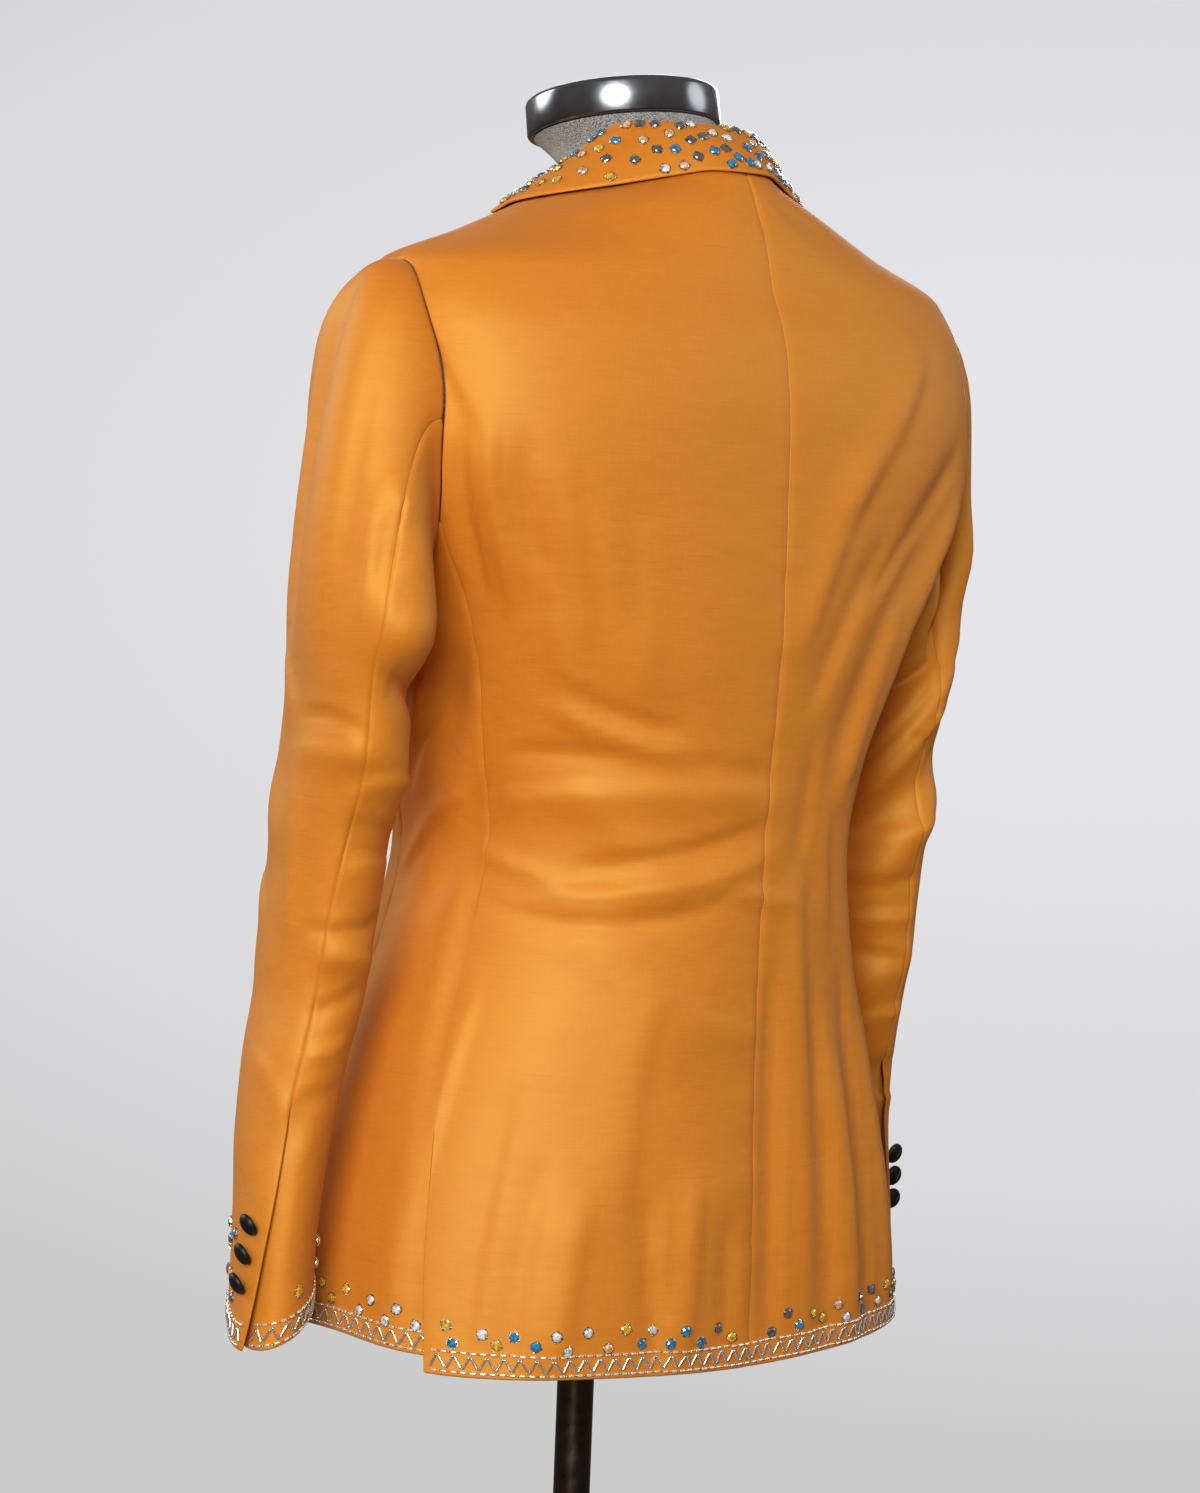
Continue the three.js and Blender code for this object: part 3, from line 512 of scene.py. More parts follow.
def fan_closed(grid, low, high):
    """Skin over rings of points, closed by a fan from one more point at either end."""
    n, sides = grid.shape[:2]
    faces, ids = ring_faces(n, sides)
    after = np.roll(ids, -1, 1)
    faces += [[ids.size, q, p] for p, q in zip(ids[0], after[0])]
    faces += [[ids.size + 1, p, q] for p, q in zip(ids[-1], after[-1])]
    return np.concatenate([grid.reshape(-1, 3), [low, high]]), faces


def flat_closed(grid):
    """Skin over rings of points, closed by one flat face at either end."""
    faces, ids = ring_faces(*grid.shape[:2])
    return grid.reshape(-1, 3), faces + [ids[0, ::-1].tolist(), ids[-1].tolist()]


def round_angles(sides):
    return np.arange(sides) * 2 * np.pi / sides


def spread(n, width=230.0, edge=(0.0, 0.8, 2.0, 3.6, 6.0)):
    """Parts 0 to 1 across a piece, closer together near both edges."""
    e = np.array(edge) / width
    return np.concatenate([e, np.linspace(e[-1], 1 - e[-1], n)[1:-1], 1 - e[::-1]])


def groove(away, deep=0.9, wide=2.2):
    return -deep * np.exp(-((away / wide) ** 2))


def pucker(z, seed, size=0.35):
    """Small uneven lift along a seam."""
    return size * (np.sin(z / 5.3 + seed) * np.sin(z / 17.0 + 2 * seed) + 0.6 * np.sin(z / 9.1 - seed))


# ------------------------------------------------------------------ body panels
def panel_points(side, turn, z, offset):
    body = turn if side > 0 else 180 - turn
    extra = fold_height(BODY_CREASES, body, z, BODY_PER_DEGREE, LEAN)
    return torso(body, z) + torso_normal(body, z) * (offset + extra)[..., None]


def back_place(side, row, t):
    turn = lerp(90, side_back(row), 1 - (1 - t) ** 1.25)
    z = row_height(row, turn)
    flare = VENT_FLARE * (1 - smooth(z, HEM, VENT_TOP)) * smooth(t, 0.7, 1)
    return turn, z, flare


def side_place(side, row, t):
    lap = VENT_LAP / BODY_PER_DEGREE * (1 - smooth(row, VENT_TOP - 45, VENT_TOP - 5))
    turn = lerp(side_back(row) + lap, side_front(row), t)
    z = row_height(row, turn, LAP_LIFT * smooth(turn, side_front(row), 10))
    seam = at(SIDE_BACK, "turn", z)
    near = smooth(turn, seam - 22 / BODY_PER_DEGREE, seam - 2 / BODY_PER_DEGREE)
    return turn, z, -LAP_SINK * near * (1 - smooth(z, VENT_TOP, VENT_TOP + 45))


def front_place(side, row, t):
    turn = lerp(side_front(row), front_edge(row), t)
    z = row_height(row, turn)
    sink = CLOSING_SINK * (1 - smooth(turn, -84, -68)) * (1 - smooth(z, BREAK + 50, BREAK + 110))
    return turn, z, np.where(side < 0, -sink, 0.0)


def side_top(t, part):
    """The side panel's top, up to the armhole's lower curve: part runs 0 to 1 upward."""
    end_turn, end_z = armhole(lerp(armhole_round(BACK_JOINT, 1), armhole_round(FRONT_JOINT, -1), t))
    z = lerp(SIDE_TOP, end_z, part)
    turn = lerp(lerp(side_back(SIDE_TOP), side_front(SIDE_TOP), t), end_turn, part)
    return np.where(t == 0, side_back(z), np.where(t == 1, side_front(z), turn)), z


def hem_rows(joint, count):
    """Heights from the hem to a joint, closer together near the hem."""
    start = HEM + 24 * (np.arange(9) / 8) ** 1.6
    return np.concatenate([start, np.linspace(start[-1], joint, count)[1:]])


def arm_rows(joint, count):
    """Heights from a joint up along the armhole and on to the neck."""
    rounds = np.linspace(armhole_round(joint, 1), 4, count)[1:]
    return np.concatenate([armhole(rounds)[1], np.linspace(ARM_TOP, NECK, 17)])


def seam_offset(row, t, width, seed):
    """Sewn edges sink a little at both sides of a piece and pucker."""
    near = np.minimum(t, 1 - t) * width
    return groove(near) + pucker(row, seed) * np.exp(-((near / 9) ** 2))


def cloth_uv(turn, z):
    return np.stack([turn * BODY_PER_DEGREE, z], -1)


def trim(grid, by=0.15):
    """Both side edges drawn in, so that neighbouring pieces don't touch."""
    g = grid.copy()
    g[:, 0] += unit(grid[:, 1] - grid[:, 0]) * by
    g[:, -1] += unit(grid[:, -2] - grid[:, -1]) * by
    return g


def body_panel(name, side, turn, z, offset):
    outer = trim(panel_points(side, turn, z, offset))
    return wall(name, outer, cloth_uv(turn, z), flip=side > 0)


def back_panel(name, side):
    rows = np.r_[hem_rows(BACK_JOINT, 110), arm_rows(BACK_JOINT, 34)]
    row, t = np.meshgrid(rows, spread(44), indexing="ij")
    turn, z, flare = back_place(side, row, t)
    sewn = np.where(t > 0.5, smooth(row, VENT_TOP - 20, VENT_TOP), 1)
    return body_panel(name, side, turn, z, flare + seam_offset(row, t, BODY_SPREAD, 1.3) * sewn)


def side_panel(name, side):
    across = spread(26, SIDE_SPREAD)
    row, low_t = np.meshgrid(hem_rows(SIDE_TOP, 90), across, indexing="ij")
    part, top_t = np.meshgrid(np.linspace(0, 1, 12)[1:], across, indexing="ij")
    low_turn, low_z, sink = side_place(side, row, low_t)
    top_turn, top_z = side_top(top_t, part)
    turn, z = np.concatenate([low_turn, top_turn]), np.concatenate([low_z, top_z])
    t, sink = np.concatenate([low_t, top_t]), np.concatenate([sink, 0 * top_z])
    sewn = np.where(t < 0.5, smooth(z, VENT_TOP - 10, VENT_TOP + 10), 1)
    return body_panel(name, side, turn, z, sink + seam_offset(z, t, SIDE_SPREAD, 2.1) * sewn)


def front_panel(name, side):
    rows = np.r_[hem_rows(FRONT_JOINT, 106), arm_rows(FRONT_JOINT, 38)]
    row, t = np.meshgrid(rows, spread(44), indexing="ij")
    turn, z, sink = front_place(side, row, t)
    return body_panel(name, side, turn, z, sink + seam_offset(row, t, BODY_SPREAD, 0.4) * (t <= 0.5))


# ------------------------------------------------------------------ sleeves
BICEP = 1205.0
CAP_FLAT = 7
SLEEVE_SQUARE, CUFF_SLANT = 2.15, 0.4
HIND_SEAM = table("z turn", [BICEP, 80], [1130, 87], [1050, 79], [910, 79], [843, 64], [CUFF, 48])
FORE_SEAM = table("z turn", [BICEP, 232], [1130, 236], [1000, 240], [CUFF, 244])
HIND_START = armhole_round(1345.0, 1)
FORE_START = armhole_round(FRONT_JOINT, -1)


def sleeve_folds(round_, z, word):
    place = np.where(round_ > 270, round_ - 360, round_)
    large = fold_height(SLEEVE_FOLDS[word], place, z, 1.0)
    return large + fold_height(SLEEVE_CREASES[word], place, z, 1.0, LEAN)


def sleeve_ring(round_, z, word):
    rows = SLEEVE[word]
    round_, z = np.broadcast_arrays(np.asarray(round_, float), np.asarray(z, float))
    x, y, depth, width, turn = (at(rows, n, z) for n in "x y depth width turn".split())
    a, b = np.radians(round_), np.radians(turn)
    g = super_round(a, SLEEVE_SQUARE)
    out = sleeve_folds(round_, z, word)
    p, q = (width * g + out) * np.cos(a), (depth * g + out) * np.sin(a)
    tilt = 1 - smooth(z, CUFF, CUFF + 90)
    dx, dy = p * np.cos(b) + q * np.sin(b), q * np.cos(b) - p * np.sin(b)
    return np.stack([x + dx, y + dy, z - CUFF_SLANT * tilt * dx], -1)


def cap_point(round_, t, word):
    """A place on the sleeve's head, between the armhole at t 0 and the biceps line at t 1."""
    start = torso(*armhole(round_))
    end = sleeve_ring(round_, BICEP, word)
    a = np.radians(round_)
    reach = np.linalg.norm(start - end, axis=-1, keepdims=True)
    leave = unit(np.stack([np.ones_like(a), 0.06 * np.sin(a), 0.2 * np.cos(a) - 0.06], -1))
    arrive = unit(sleeve_ring(round_, BICEP - 20, word) - end)
    start = start - leave * 0.5
    head = (((1 + np.cos(a)) / 2) ** 2)[..., None]
    swell = np.sin(np.pi * t) * (t < 1)
    t = t[..., None]
    point = (
        start * (2 * t**3 - 3 * t**2 + 1)
        + leave * (t**3 - 2 * t**2 + t) * reach * lerp(0.5, 0.68, head)
        + end * (3 * t**2 - 2 * t**3)
        + arrive * (t**3 - t**2) * reach * lerp(1.15, 1.7, head)
    )
    out = sleeve_folds(round_, point[..., 2], word) * swell**0.7
    out = out - CAP_FLAT * smooth(np.cos(a), -0.6, 0.2) * swell**2
    away = unit(np.stack([0.6 + 0 * a, 0.8 * np.sin(a), 0 * a], -1))
    return point + away * out[..., None]


class Piece:
    """One of a sleeve's two pieces."""

    def __init__(self, top):
        self.top = top
        self.start = FORE_START - 360 if top else HIND_START
        self.end = HIND_START if top else FORE_START

    def low(self, z):
        return at(FORE_SEAM, "turn", z) - 360 if self.top else at(HIND_SEAM, "turn", z)

    def high(self, z):
        return at(HIND_SEAM, "turn", z) if self.top else at(FORE_SEAM, "turn", z)

    def vent(self, z, f):
        slit = 1 - smooth(z, VENT_END - 25, VENT_END)
        if self.top:
            return 0 * z, CUFF_FLARE * slit * (VENT_END - z) / CUFF_VENT * smooth(f, 0.75, 1)
        sunk = (1 - smooth(f, 0, 0.25)) * (1 - smooth(z, VENT_END, VENT_END + 24))
        return -CUFF_LAP_TURN * slit * (1 - f) ** 2, -LAP_SINK * sunk


TOP, UNDER = Piece(True), Piece(False)


def arm_point(piece, word, f, z, out=0.0):
    f, z = np.broadcast_arrays(np.asarray(f, float), np.asarray(z, float))
    shift, vent_out = piece.vent(z, f)
    turn = lerp(piece.low(z), piece.high(z), f) + shift
    point = sleeve_ring(turn, z, word)
    axis = np.stack([at(SLEEVE[word], "x", z), at(SLEEVE[word], "y", z), point[..., 2]], -1)
    return point + unit(point - axis) * (vent_out + out)[..., None]


def sleeve_piece(name, side, piece):
    word = "left" if side > 0 else "right"
    f = spread(44 if piece.top else 34, SLEEVE_SPREAD)
    t, cap_f = np.meshgrid(np.linspace(0, 1, 26)[:-1] ** 1.15, f, indexing="ij")
    rounds = lerp(piece.start, piece.end, cap_f)
    ends = lerp(piece.low(BICEP), piece.high(BICEP), cap_f)
    cap = cap_point(lerp(rounds, ends, t), t, word)
    heights = np.r_[np.linspace(BICEP, CUFF + 22, 88), CUFF + 22 * (1 - np.arange(1, 9) / 8) ** 1.6]
    z, arm_f = np.meshgrid(heights, f, indexing="ij")
    sewn = np.where((arm_f > 0.5) == piece.top, smooth(z, VENT_END - 6, VENT_END + 12), 1)
    arm = arm_point(piece, word, arm_f, z, seam_offset(z, arm_f, SLEEVE_SPREAD, 3.3) * sewn)
    outer = np.concatenate([cap, arm])
    lift = seam_offset(cap[..., 2], cap_f, SLEEVE_SPREAD, 3.3) + groove(t * 120, 0.5, 2.4)
    outer[: len(cap)] -= normals_of(outer)[: len(cap)] * lift[..., None]
    outer = trim(outer, 0.12)
    uv = np.stack([np.broadcast_to(f * SLEEVE_SPREAD, outer.shape[:2]), outer[..., 2]], -1)
    return wall(name, outer * [side, 1, 1], uv, flip=side > 0)


# ------------------------------------------------------------------ collar
NECK_END = float(front_edge(np.array(float(NECK))))
LAPEL = table("z width", [BREAK, 5], [1165, 24], [1230, 48], [1300, 61], [1380, 60], [1450, 53], [NECK, 48])
FALL = table("turn z", [-60, 1479], [-20, 1482], [0, 1485], [20, 1490], [45, 1500], [68, 1506], [90, 1506])
ROLL_SECTION = np.array([[1.4, -2], [3.3, -1.4], [5, 0.9], [4.9, 3.6], [2.6, 5.6]])   # along, out
# The right lapel tapers to a tip where it passes under the left front.
RIGHT_BREAK, LAPEL_TIP, LAPEL_TAPER = 1200, 7, 0.9
LAPEL_LIFT, NECK_LIFT, LAPEL_BELLY, NECK_BELLY = 3.4, 3.2, 5, 4.5     # how far the fall stands off and swells


def roll_height(turn):
    return NECK + (ROLL - NECK) * smooth(turn, NECK_END, NECK_END + 70)


def mirror_turn(turn):
    return np.where(turn > 90, 180 - turn, turn)


def under_turn(p):
    w, back, front, middle = (at(TORSO, n, p[:, 2]) for n in ("half_width", "back", "front", "middle"))
    depth = np.where(p[:, 1] > middle, back - middle, middle - front)
    turn = np.degrees(np.arctan2((p[:, 1] - middle) / depth, p[:, 0] / w))
    return np.where(turn < -130, turn + 360, turn)


def catmull(points, count):
    """Smooth curve through control points on axis 1, sampled count times."""
    n = points.shape[1]
    before, after = 2 * points[:, :1] - points[:, 1:2], 2 * points[:, -1:] - points[:, -2:-1]
    ext = np.concatenate([before, points, after], 1)
    u = np.linspace(0, n - 1, count)
    i = np.minimum(u.astype(int), n - 2)
    t = (u - i)[None, :, None]
    p0, p1, p2, p3 = ext[:, i], ext[:, i + 1], ext[:, i + 2], ext[:, i + 3]
    bent, twisted = 2 * p0 - 5 * p1 + 4 * p2 - p3, 3 * p1 - p0 - 3 * p2 + p3
    return 0.5 * (2 * p1 + (p2 - p0) * t + bent * t**2 + twisted * t**3)


def collar_grid():
    up = np.linspace(BREAK, NECK, 66)
    neck = np.linspace(NECK_END, 180 - NECK_END, 92)[1:-1]
    down = up[up >= RIGHT_BREAK][::-1]
    turn = np.concatenate([front_edge(up), neck, 180 - front_edge(down)])
    z = np.concatenate([up, roll_height(mirror_turn(neck)), down])
    lapel = np.repeat([True, False, True], [len(up), len(neck), len(down)])
    roll = torso(turn, z)
    tangent = unit(np.gradient(roll, axis=0))
    normal = torso_normal(turn, z)
    past = unit(np.cross(tangent, normal))
    past *= np.where(past[:, 2:] < 0, -1, 1)
    section = roll[:, None] + past[:, None] * ROLL_SECTION[:, :1] + normal[:, None] * ROLL_SECTION[:, 1:]
    start = section[:, -1]
    width = at(LAPEL, "width", z)
    width = np.where(turn > 180, np.minimum(width, LAPEL_TIP + LAPEL_TAPER * (z - RIGHT_BREAK)), width)
    low = roll - past * width[:, None]
    edge_turn = np.where(lapel, under_turn(low), turn)
    edge_z = np.where(lapel, low[:, 2], at(FALL, "z", mirror_turn(turn), "turn"))
    edge_normal = torso_normal(edge_turn, edge_z)
    end = torso(edge_turn, edge_z) + edge_normal * np.where(lapel, LAPEL_LIFT, NECK_LIFT)[:, None]
    swell = np.where(lapel, LAPEL_BELLY, NECK_BELLY)[:, None]
    belly = (start + end) / 2 + unit(normal + edge_normal) * swell
    s = np.array([0.25, 0.5, 0.75, 1])[:, None]
    fall = start[:, None] * (1 - s) ** 2 + belly[:, None] * 2 * s * (1 - s) + end[:, None] * s**2
    control = np.concatenate([section, fall], 1)
    for _ in range(3):                     # the joins of lapel and neck run smoothly into each other
        control[1:-1] = control[1:-1] * 0.5 + (control[:-2] + control[2:]) * 0.25
    return catmull(control, 34)


def collar():
    grid = collar_grid()
    along = np.concatenate([[0], np.cumsum(np.linalg.norm(np.diff(grid[:, 20], axis=0), axis=-1))])
    across = np.linspace(0, 60, grid.shape[1])
    uv = np.stack(np.meshgrid(along, across, indexing="ij"), -1)
    return wall("shawl_collar_cloth", grid, uv), grid


def collar_stand():
    turn = np.linspace(NECK_END + 14, 166 - NECK_END, 90)
    t = np.linspace(0, 1, 8)
    tt, row = np.meshgrid(t, turn, indexing="ij")
    z = lerp(NECK + 0.6, roll_height(mirror_turn(row)), tt)
    outer = torso(row, z)
    return wall("collar_stand_cloth", outer, np.stack([row * 2, z], -1), flip=True)


# ------------------------------------------------------------------ lathed and lofted pieces
def lathe(name, profile, sides, material_name, middle=(0, 0, 0), axis=(0, 0, 1), sharp=50):
    """A turned piece: the profile's radii and heights run up its axis from its middle point."""
    low, high = profile[0][1], profile[-1][1]
    points, faces = fan_closed(rings(profile, round_angles(sides)), [0, 0, low], [0, 0, high])
    turn = np.array(Vector((0, 0, 1)).rotation_difference(Vector(axis)).to_matrix())
    return new_mesh(name, points @ turn.T + middle, faces, None, [material_name], None, sharp)


FORM_FIT = table(
    "z gap", [FORM_BOTTOM, 42], [950, 26], [1085, 13], [1235, 13], [1340, 11], [1400, 9], [1431, 5.5],
    [1440, 3.9], [1450, 3.3], [1493, 3.3], [NECK, 7],
)
FORM_NECK = table(
    "z half_width back front", [1514, 46, 80, -38], [1526, 49, 70, -48], [NECK_TOP, 58, 60, -57],
)


def form():
    """The form's body a little inside the cloth, and its neck, which tilts forward to the cap."""
    turns = np.arange(0, 360, 3.0)
    heights = np.r_[np.linspace(FORM_BOTTOM, 1400, 48), np.linspace(1406, NECK, 24)]
    z, turn = np.meshgrid(heights, turns, indexing="ij")
    body = torso(turn, z, False) - torso_normal(turn, z, False) * at(FORM_FIT, "gap", z)[..., None]
    body[..., 2] = np.where(z < 1420, z, body[..., 2])
    a = np.radians(turns)
    neck = []
    for h in np.linspace(1514, NECK_TOP, 8):
        w, b, f = (at(FORM_NECK, n, h) for n in ("half_width", "back", "front"))
        y = (b - f) / 2 * np.sin(a)
        tilt = NECK_TILT * (h - NECK) / (NECK_TOP - NECK)
        neck.append(np.stack([w * np.cos(a), (b + f) / 2 + y, h + tilt * y], -1))
    grid = np.concatenate([body, neck])
    points, faces = fan_closed(grid, grid[0].mean(0), grid[-1].mean(0))
    return new_mesh("form_knit", points, faces, None, ["knit"], None, 60)


# ------------------------------------------------------------------ small things, copied along the cloth
def tube_shape(length, radius, ends, sides=8):
    """A short rod along x with rounded ends."""
    xs = np.array([-0.5, -0.47, -0.40, 0.40, 0.47, 0.5]) * length
    rs = np.array([ends * 0.6, ends + 0.2, 1, 1, ends + 0.2, ends * 0.6]) * radius
    ring = rings(np.stack([rs, xs], -1), round_angles(sides))
    points, faces = flat_closed(ring[..., [2, 0, 1]])
    return points, [f[::-1] for f in faces]


def ball_shape(radius, sides=8, levels=5):
    b = np.linspace(-np.pi / 2, np.pi / 2, levels + 2)[1:-1]
    ring = rings(np.stack([np.cos(b), np.sin(b)], -1) * radius, round_angles(sides))
    return fan_closed(ring, [0, 0, -radius], [0, 0, radius])


def stone_shape(radius=3.15, sides=8):
    """A cut stone: flat table, sloping crown and a girdle, z up, its back at z 0."""
    a = round_angles(sides)
    half = np.pi / sides
    levels = ((0.86, 0.15, 0), (1.0, 0.62, half), (0.82, 1.30, 0), (0.50, 1.78, half))
    points = np.concatenate([rings([[r * radius, z]], a + turn)[0] for r, z, turn in levels])
    ids = np.arange(len(points)).reshape(-1, sides)
    after = np.roll(ids, -1, 1)
    faces = []
    for k in range(3):             # triangles between two levels turned by half a step
        for p, p2, q, q2 in zip(ids[k], after[k], ids[k + 1], after[k + 1]):
            faces += [[p, p2, q], [p2, q2, q]] if k % 2 == 0 else [[p, p2, q2], [p, q2, q]]
    return points, faces + [ids[-1], ids[0, ::-1]]


def setting_shape(radius=3.55, claw_half=0.42, claw_thick=0.3):
    """A silver cup with four claws over the stone."""
    cup = ((0.9, 0.0), (1.0, 0.0), (1.0, 0.75), (0.9, 0.75), (0.88, 0.35))
    points, faces = flat_closed(rings(np.array(cup) * [radius, 1], round_angles(12)))
    path = ((1.0, 0.2), (1.04, 0.95), (0.9, 1.35), (0.72, 1.42))
    for b in round_angles(4) + np.pi / 4:
        out, over = np.array([np.cos(b), np.sin(b), 0]), np.array([-np.sin(b), np.cos(b), 0])
        claw = np.zeros((len(path), 4, 3))
        for i, (r, z) in enumerate(path):
            thick = out if z < 1 else np.array([0, 0, 1])          # upright below, lying over the stone above
            for j, (s, lift) in enumerate(((-1, 0), (1, 0), (1, claw_thick), (-1, claw_thick))):
                claw[i, j] = out * r * radius + [0, 0, z] + over * s * claw_half + thick * lift
        more, more_faces = flat_closed(claw)
        faces += [[i + len(points) for i in f] for f in more_faces]
        points = np.concatenate([points, more])
    return points, faces


class Sprinkle:
    """Collects copies of small shapes and joins them into one mesh."""

    def __init__(self, materials):
        self.materials, self.points, self.faces, self.slots, self.count = materials, [], [], [], 0

    def add(self, shape, places, frames, material):
        points, faces = shape
        slot = self.materials.index(material)
        for p, f in zip(places, frames):
            self.points.append(points @ f + p)
            self.faces += [[i + self.count for i in face] for face in faces]
            self.slots += [slot] * len(faces)
            self.count += len(points)

    def build(self, name, sharp=None):
        points = np.concatenate(self.points)
        return new_mesh(name, points, self.faces, None, self.materials, self.slots, sharp)


def frames_from(tangent, normal):
    x = unit(tangent)
    y = unit(np.cross(normal, x))
    return np.stack([x, y, np.cross(x, y)], -2)


def walk(surface, h, pitch, start=0.0, end=0.0):
    """Parts t at even distances along a surface's line at height h above its edge."""
    t = np.linspace(0, 1, 500)
    p = surface(t, np.full_like(t, h))
    s = np.concatenate([[0], np.cumsum(np.linalg.norm(np.diff(p, axis=0), axis=-1))])
    total = s[-1] - start - end
    n = max(1, int(round(total / pitch)))
    return np.interp(start + (np.arange(n) + 0.5) * total / n, s, t)


def surface_frame(surface, t, h, centre, dt=0.002, dh=0.8):
    """Points of a cloth surface, its directions along and up, and its normals away from the centre."""
    t, h = np.broadcast_arrays(t, h)
    p = surface(t, h)
    along = surface(t + dt, h) - surface(t - dt, h)
    up = surface(t, h + dh) - surface(t, h - dh)
    n = unit(np.cross(along, up))
    flip = np.where(((n * (p - centre)).sum(-1, keepdims=True)) < 0, -1, 1)
    return p, along, up, n * flip


def body_surface(place, side):
    return lambda t, h: panel_points(side, *place(side, HEM + h, np.clip(t, 0, 1)))


def cuff_surface(piece, word):
    return lambda t, h: arm_point(piece, word, np.clip(t, 0, 1), CUFF + h) * [SIDES[word], 1, 1]


STONE_COLOURS = ["clear", "clear", "smoky", "smoky", "golden", "golden", "sapphire", "sapphire", "peach"]


def border(beads, surface, centre, ends):
    """Rows of dashes and gold beads with a bugle zigzag between them, along one edge."""
    for h in DASH_ROWS:
        t = walk(surface, h, DASH_PITCH, *ends)
        p, along, up, n = surface_frame(surface, t, h, centre)
        beads.add(DASH, p + n * 0.75, frames_from(along, n), "silver_bead")
        p, along, up, n = surface_frame(surface, t[:-1] + np.diff(t) / 2, h, centre)
        beads.add(BEAD, p + n * 0.8, frames_from(along, n), "gold_bead")
    middle = sum(DASH_ROWS) / 2
    t = walk(surface, middle, BUGLE_PITCH, *ends)
    p, along, up, n = surface_frame(surface, t, middle, centre)
    zigzag = (-1.0) ** np.arange(len(t))[:, None]
    lean = unit(along) * 0.5 + unit(up) * 0.866 * zigzag
    beads.add(BUGLE, p + n * 0.85, frames_from(lean, n), "bugle")


def add_stones(stones, p, n, rng):
    turn = rng.uniform(0, 2 * np.pi, len(p))
    any_side = unit(np.cross(n, [0.3, 0.5, 0.8]))
    tangent = any_side * np.cos(turn)[:, None] + np.cross(n, any_side) * np.sin(turn)[:, None]
    f = frames_from(tangent, n)
    colours = rng.choice(STONE_COLOURS, len(p))
    stones.add(SETTING, p + n * 0.15, f, "silver")
    for c in sorted(set(colours)):
        k = np.where(colours == c)[0]
        stones.add(STONE, (p + n * 0.45)[k], f[k], c)


def hem_stones(stones, surface, centre, rng):
    """Two loose rows above the border, the upper one set between the stones of the lower."""
    for h, offset in STONE_ROWS:
        t = walk(surface, h, STONE_PITCH, 8.0, 8.0)
        step = t[1] - t[0] if len(t) > 1 else 0.1
        t = np.clip(t + step * offset + rng.uniform(-0.12, 0.12, len(t)) * step, 0.02, 0.98)
        p, along, up, n = surface_frame(surface, t, h + rng.uniform(-2.2, 2.2, len(t)), centre)
        add_stones(stones, p, n, rng)


def scatter(count, box, apart, rng, size=(1, 1)):
    """Random places in a box of parts, kept apart from each other."""
    found = []
    for _ in range(count * 60):
        q = np.array([rng.uniform(*box[0]), rng.uniform(*box[1])])
        if all(np.hypot(*((q - f) * size)) > apart for f in found):
            found.append(q)
        if len(found) == count:
            break
    return np.array(found)


DASH, BEAD, BUGLE = tube_shape(3.4, 0.85, 0.75), ball_shape(0.7), tube_shape(8.6, 0.85, 0.85)
STONE, SETTING = stone_shape(), setting_shape()
DASH_ROWS, DASH_PITCH, BUGLE_PITCH = (2.4, 14.4), 6.0, 5.05       # heights above the edge, and distances
STONE_ROWS, STONE_PITCH = ((19.5, 0.0), (28.0, 0.5)), 25.0        # height and shift of each row, distance
COLLAR_STONES, STONE_SHARP = 210, 8                               # count, and degrees that make an edge sharp


# ------------------------------------------------------------------ materials
def material(name, base, rough=0.5, metal=0.0, **sockets):
    m = bpy.data.materials.new(name)
    m.use_nodes = True
    bsdf = m.node_tree.nodes["Principled BSDF"]
    bsdf.inputs["Base Color"].default_value = (*base, 1)
    bsdf.inputs["Roughness"].default_value = rough
    bsdf.inputs["Metallic"].default_value = metal
    for key, value in sockets.items():
        bsdf.inputs[key.replace("_", " ")].default_value = value
    MATERIALS[name] = m
    return m.node_tree, bsdf


def node(tree, kind, inputs=None, **props):
    n = tree.nodes.new(kind)
    for key, value in props.items():
        setattr(n, key, value)
    for key, value in (inputs or {}).items():
        if isinstance(value, bpy.types.NodeSocket):
            tree.links.new(value, n.inputs[key])
        else:
            n.inputs[key].default_value = value
    return n


def scaled(tree, source, scale, turn=0.0):
    inputs = {"Vector": source, "Scale": scale, "Rotation": (0, 0, turn)}
    return node(tree, "ShaderNodeMapping", inputs).outputs[0]


def ramp(tree, fac, stops):
    r = node(tree, "ShaderNodeValToRGB", {"Fac": fac})
    for i, (pos, colour) in enumerate(stops):
        e = r.color_ramp.elements[i] if i < 2 else r.color_ramp.elements.new(pos)
        e.position = pos
        e.color = (*colour, 1)
    return r.outputs[0]


def math_node(tree, kind, a, b=0.5):
    return node(tree, "ShaderNodeMath", {0: a, 1: b}, operation=kind).outputs[0]


def noise(tree, vector, scale, detail=2.0):
    inputs = {"Vector": vector, "Scale": scale, "Detail": detail}
    return node(tree, "ShaderNodeTexNoise", inputs).outputs["Fac"]


def wave(tree, vector, scale, distortion, detail=2.0):
    inputs = {"Vector": vector, "Scale": scale, "Distortion": distortion, "Detail": detail}
    return node(tree, "ShaderNodeTexWave", inputs).outputs["Fac"]


def blend(tree, a, b):
    """Six parts of one height and four of another."""
    return math_node(tree, "ADD", math_node(tree, "MULTIPLY", a, 0.6), math_node(tree, "MULTIPLY", b, 0.4))


def grey(value):
    return (value, value, value)


def place_of(tree):
    return node(tree, "ShaderNodeTexCoord").outputs["Object"]


def cloth_place(tree):
    return node(tree, "ShaderNodeUVMap", uv_map="cloth").outputs[0]


def colour_by(tree, bsdf, fac, low, high, at_low=0.3, at_high=0.7, socket="Base Color"):
    tree.links.new(ramp(tree, fac, [(at_low, low), (at_high, high)]), bsdf.inputs[socket])


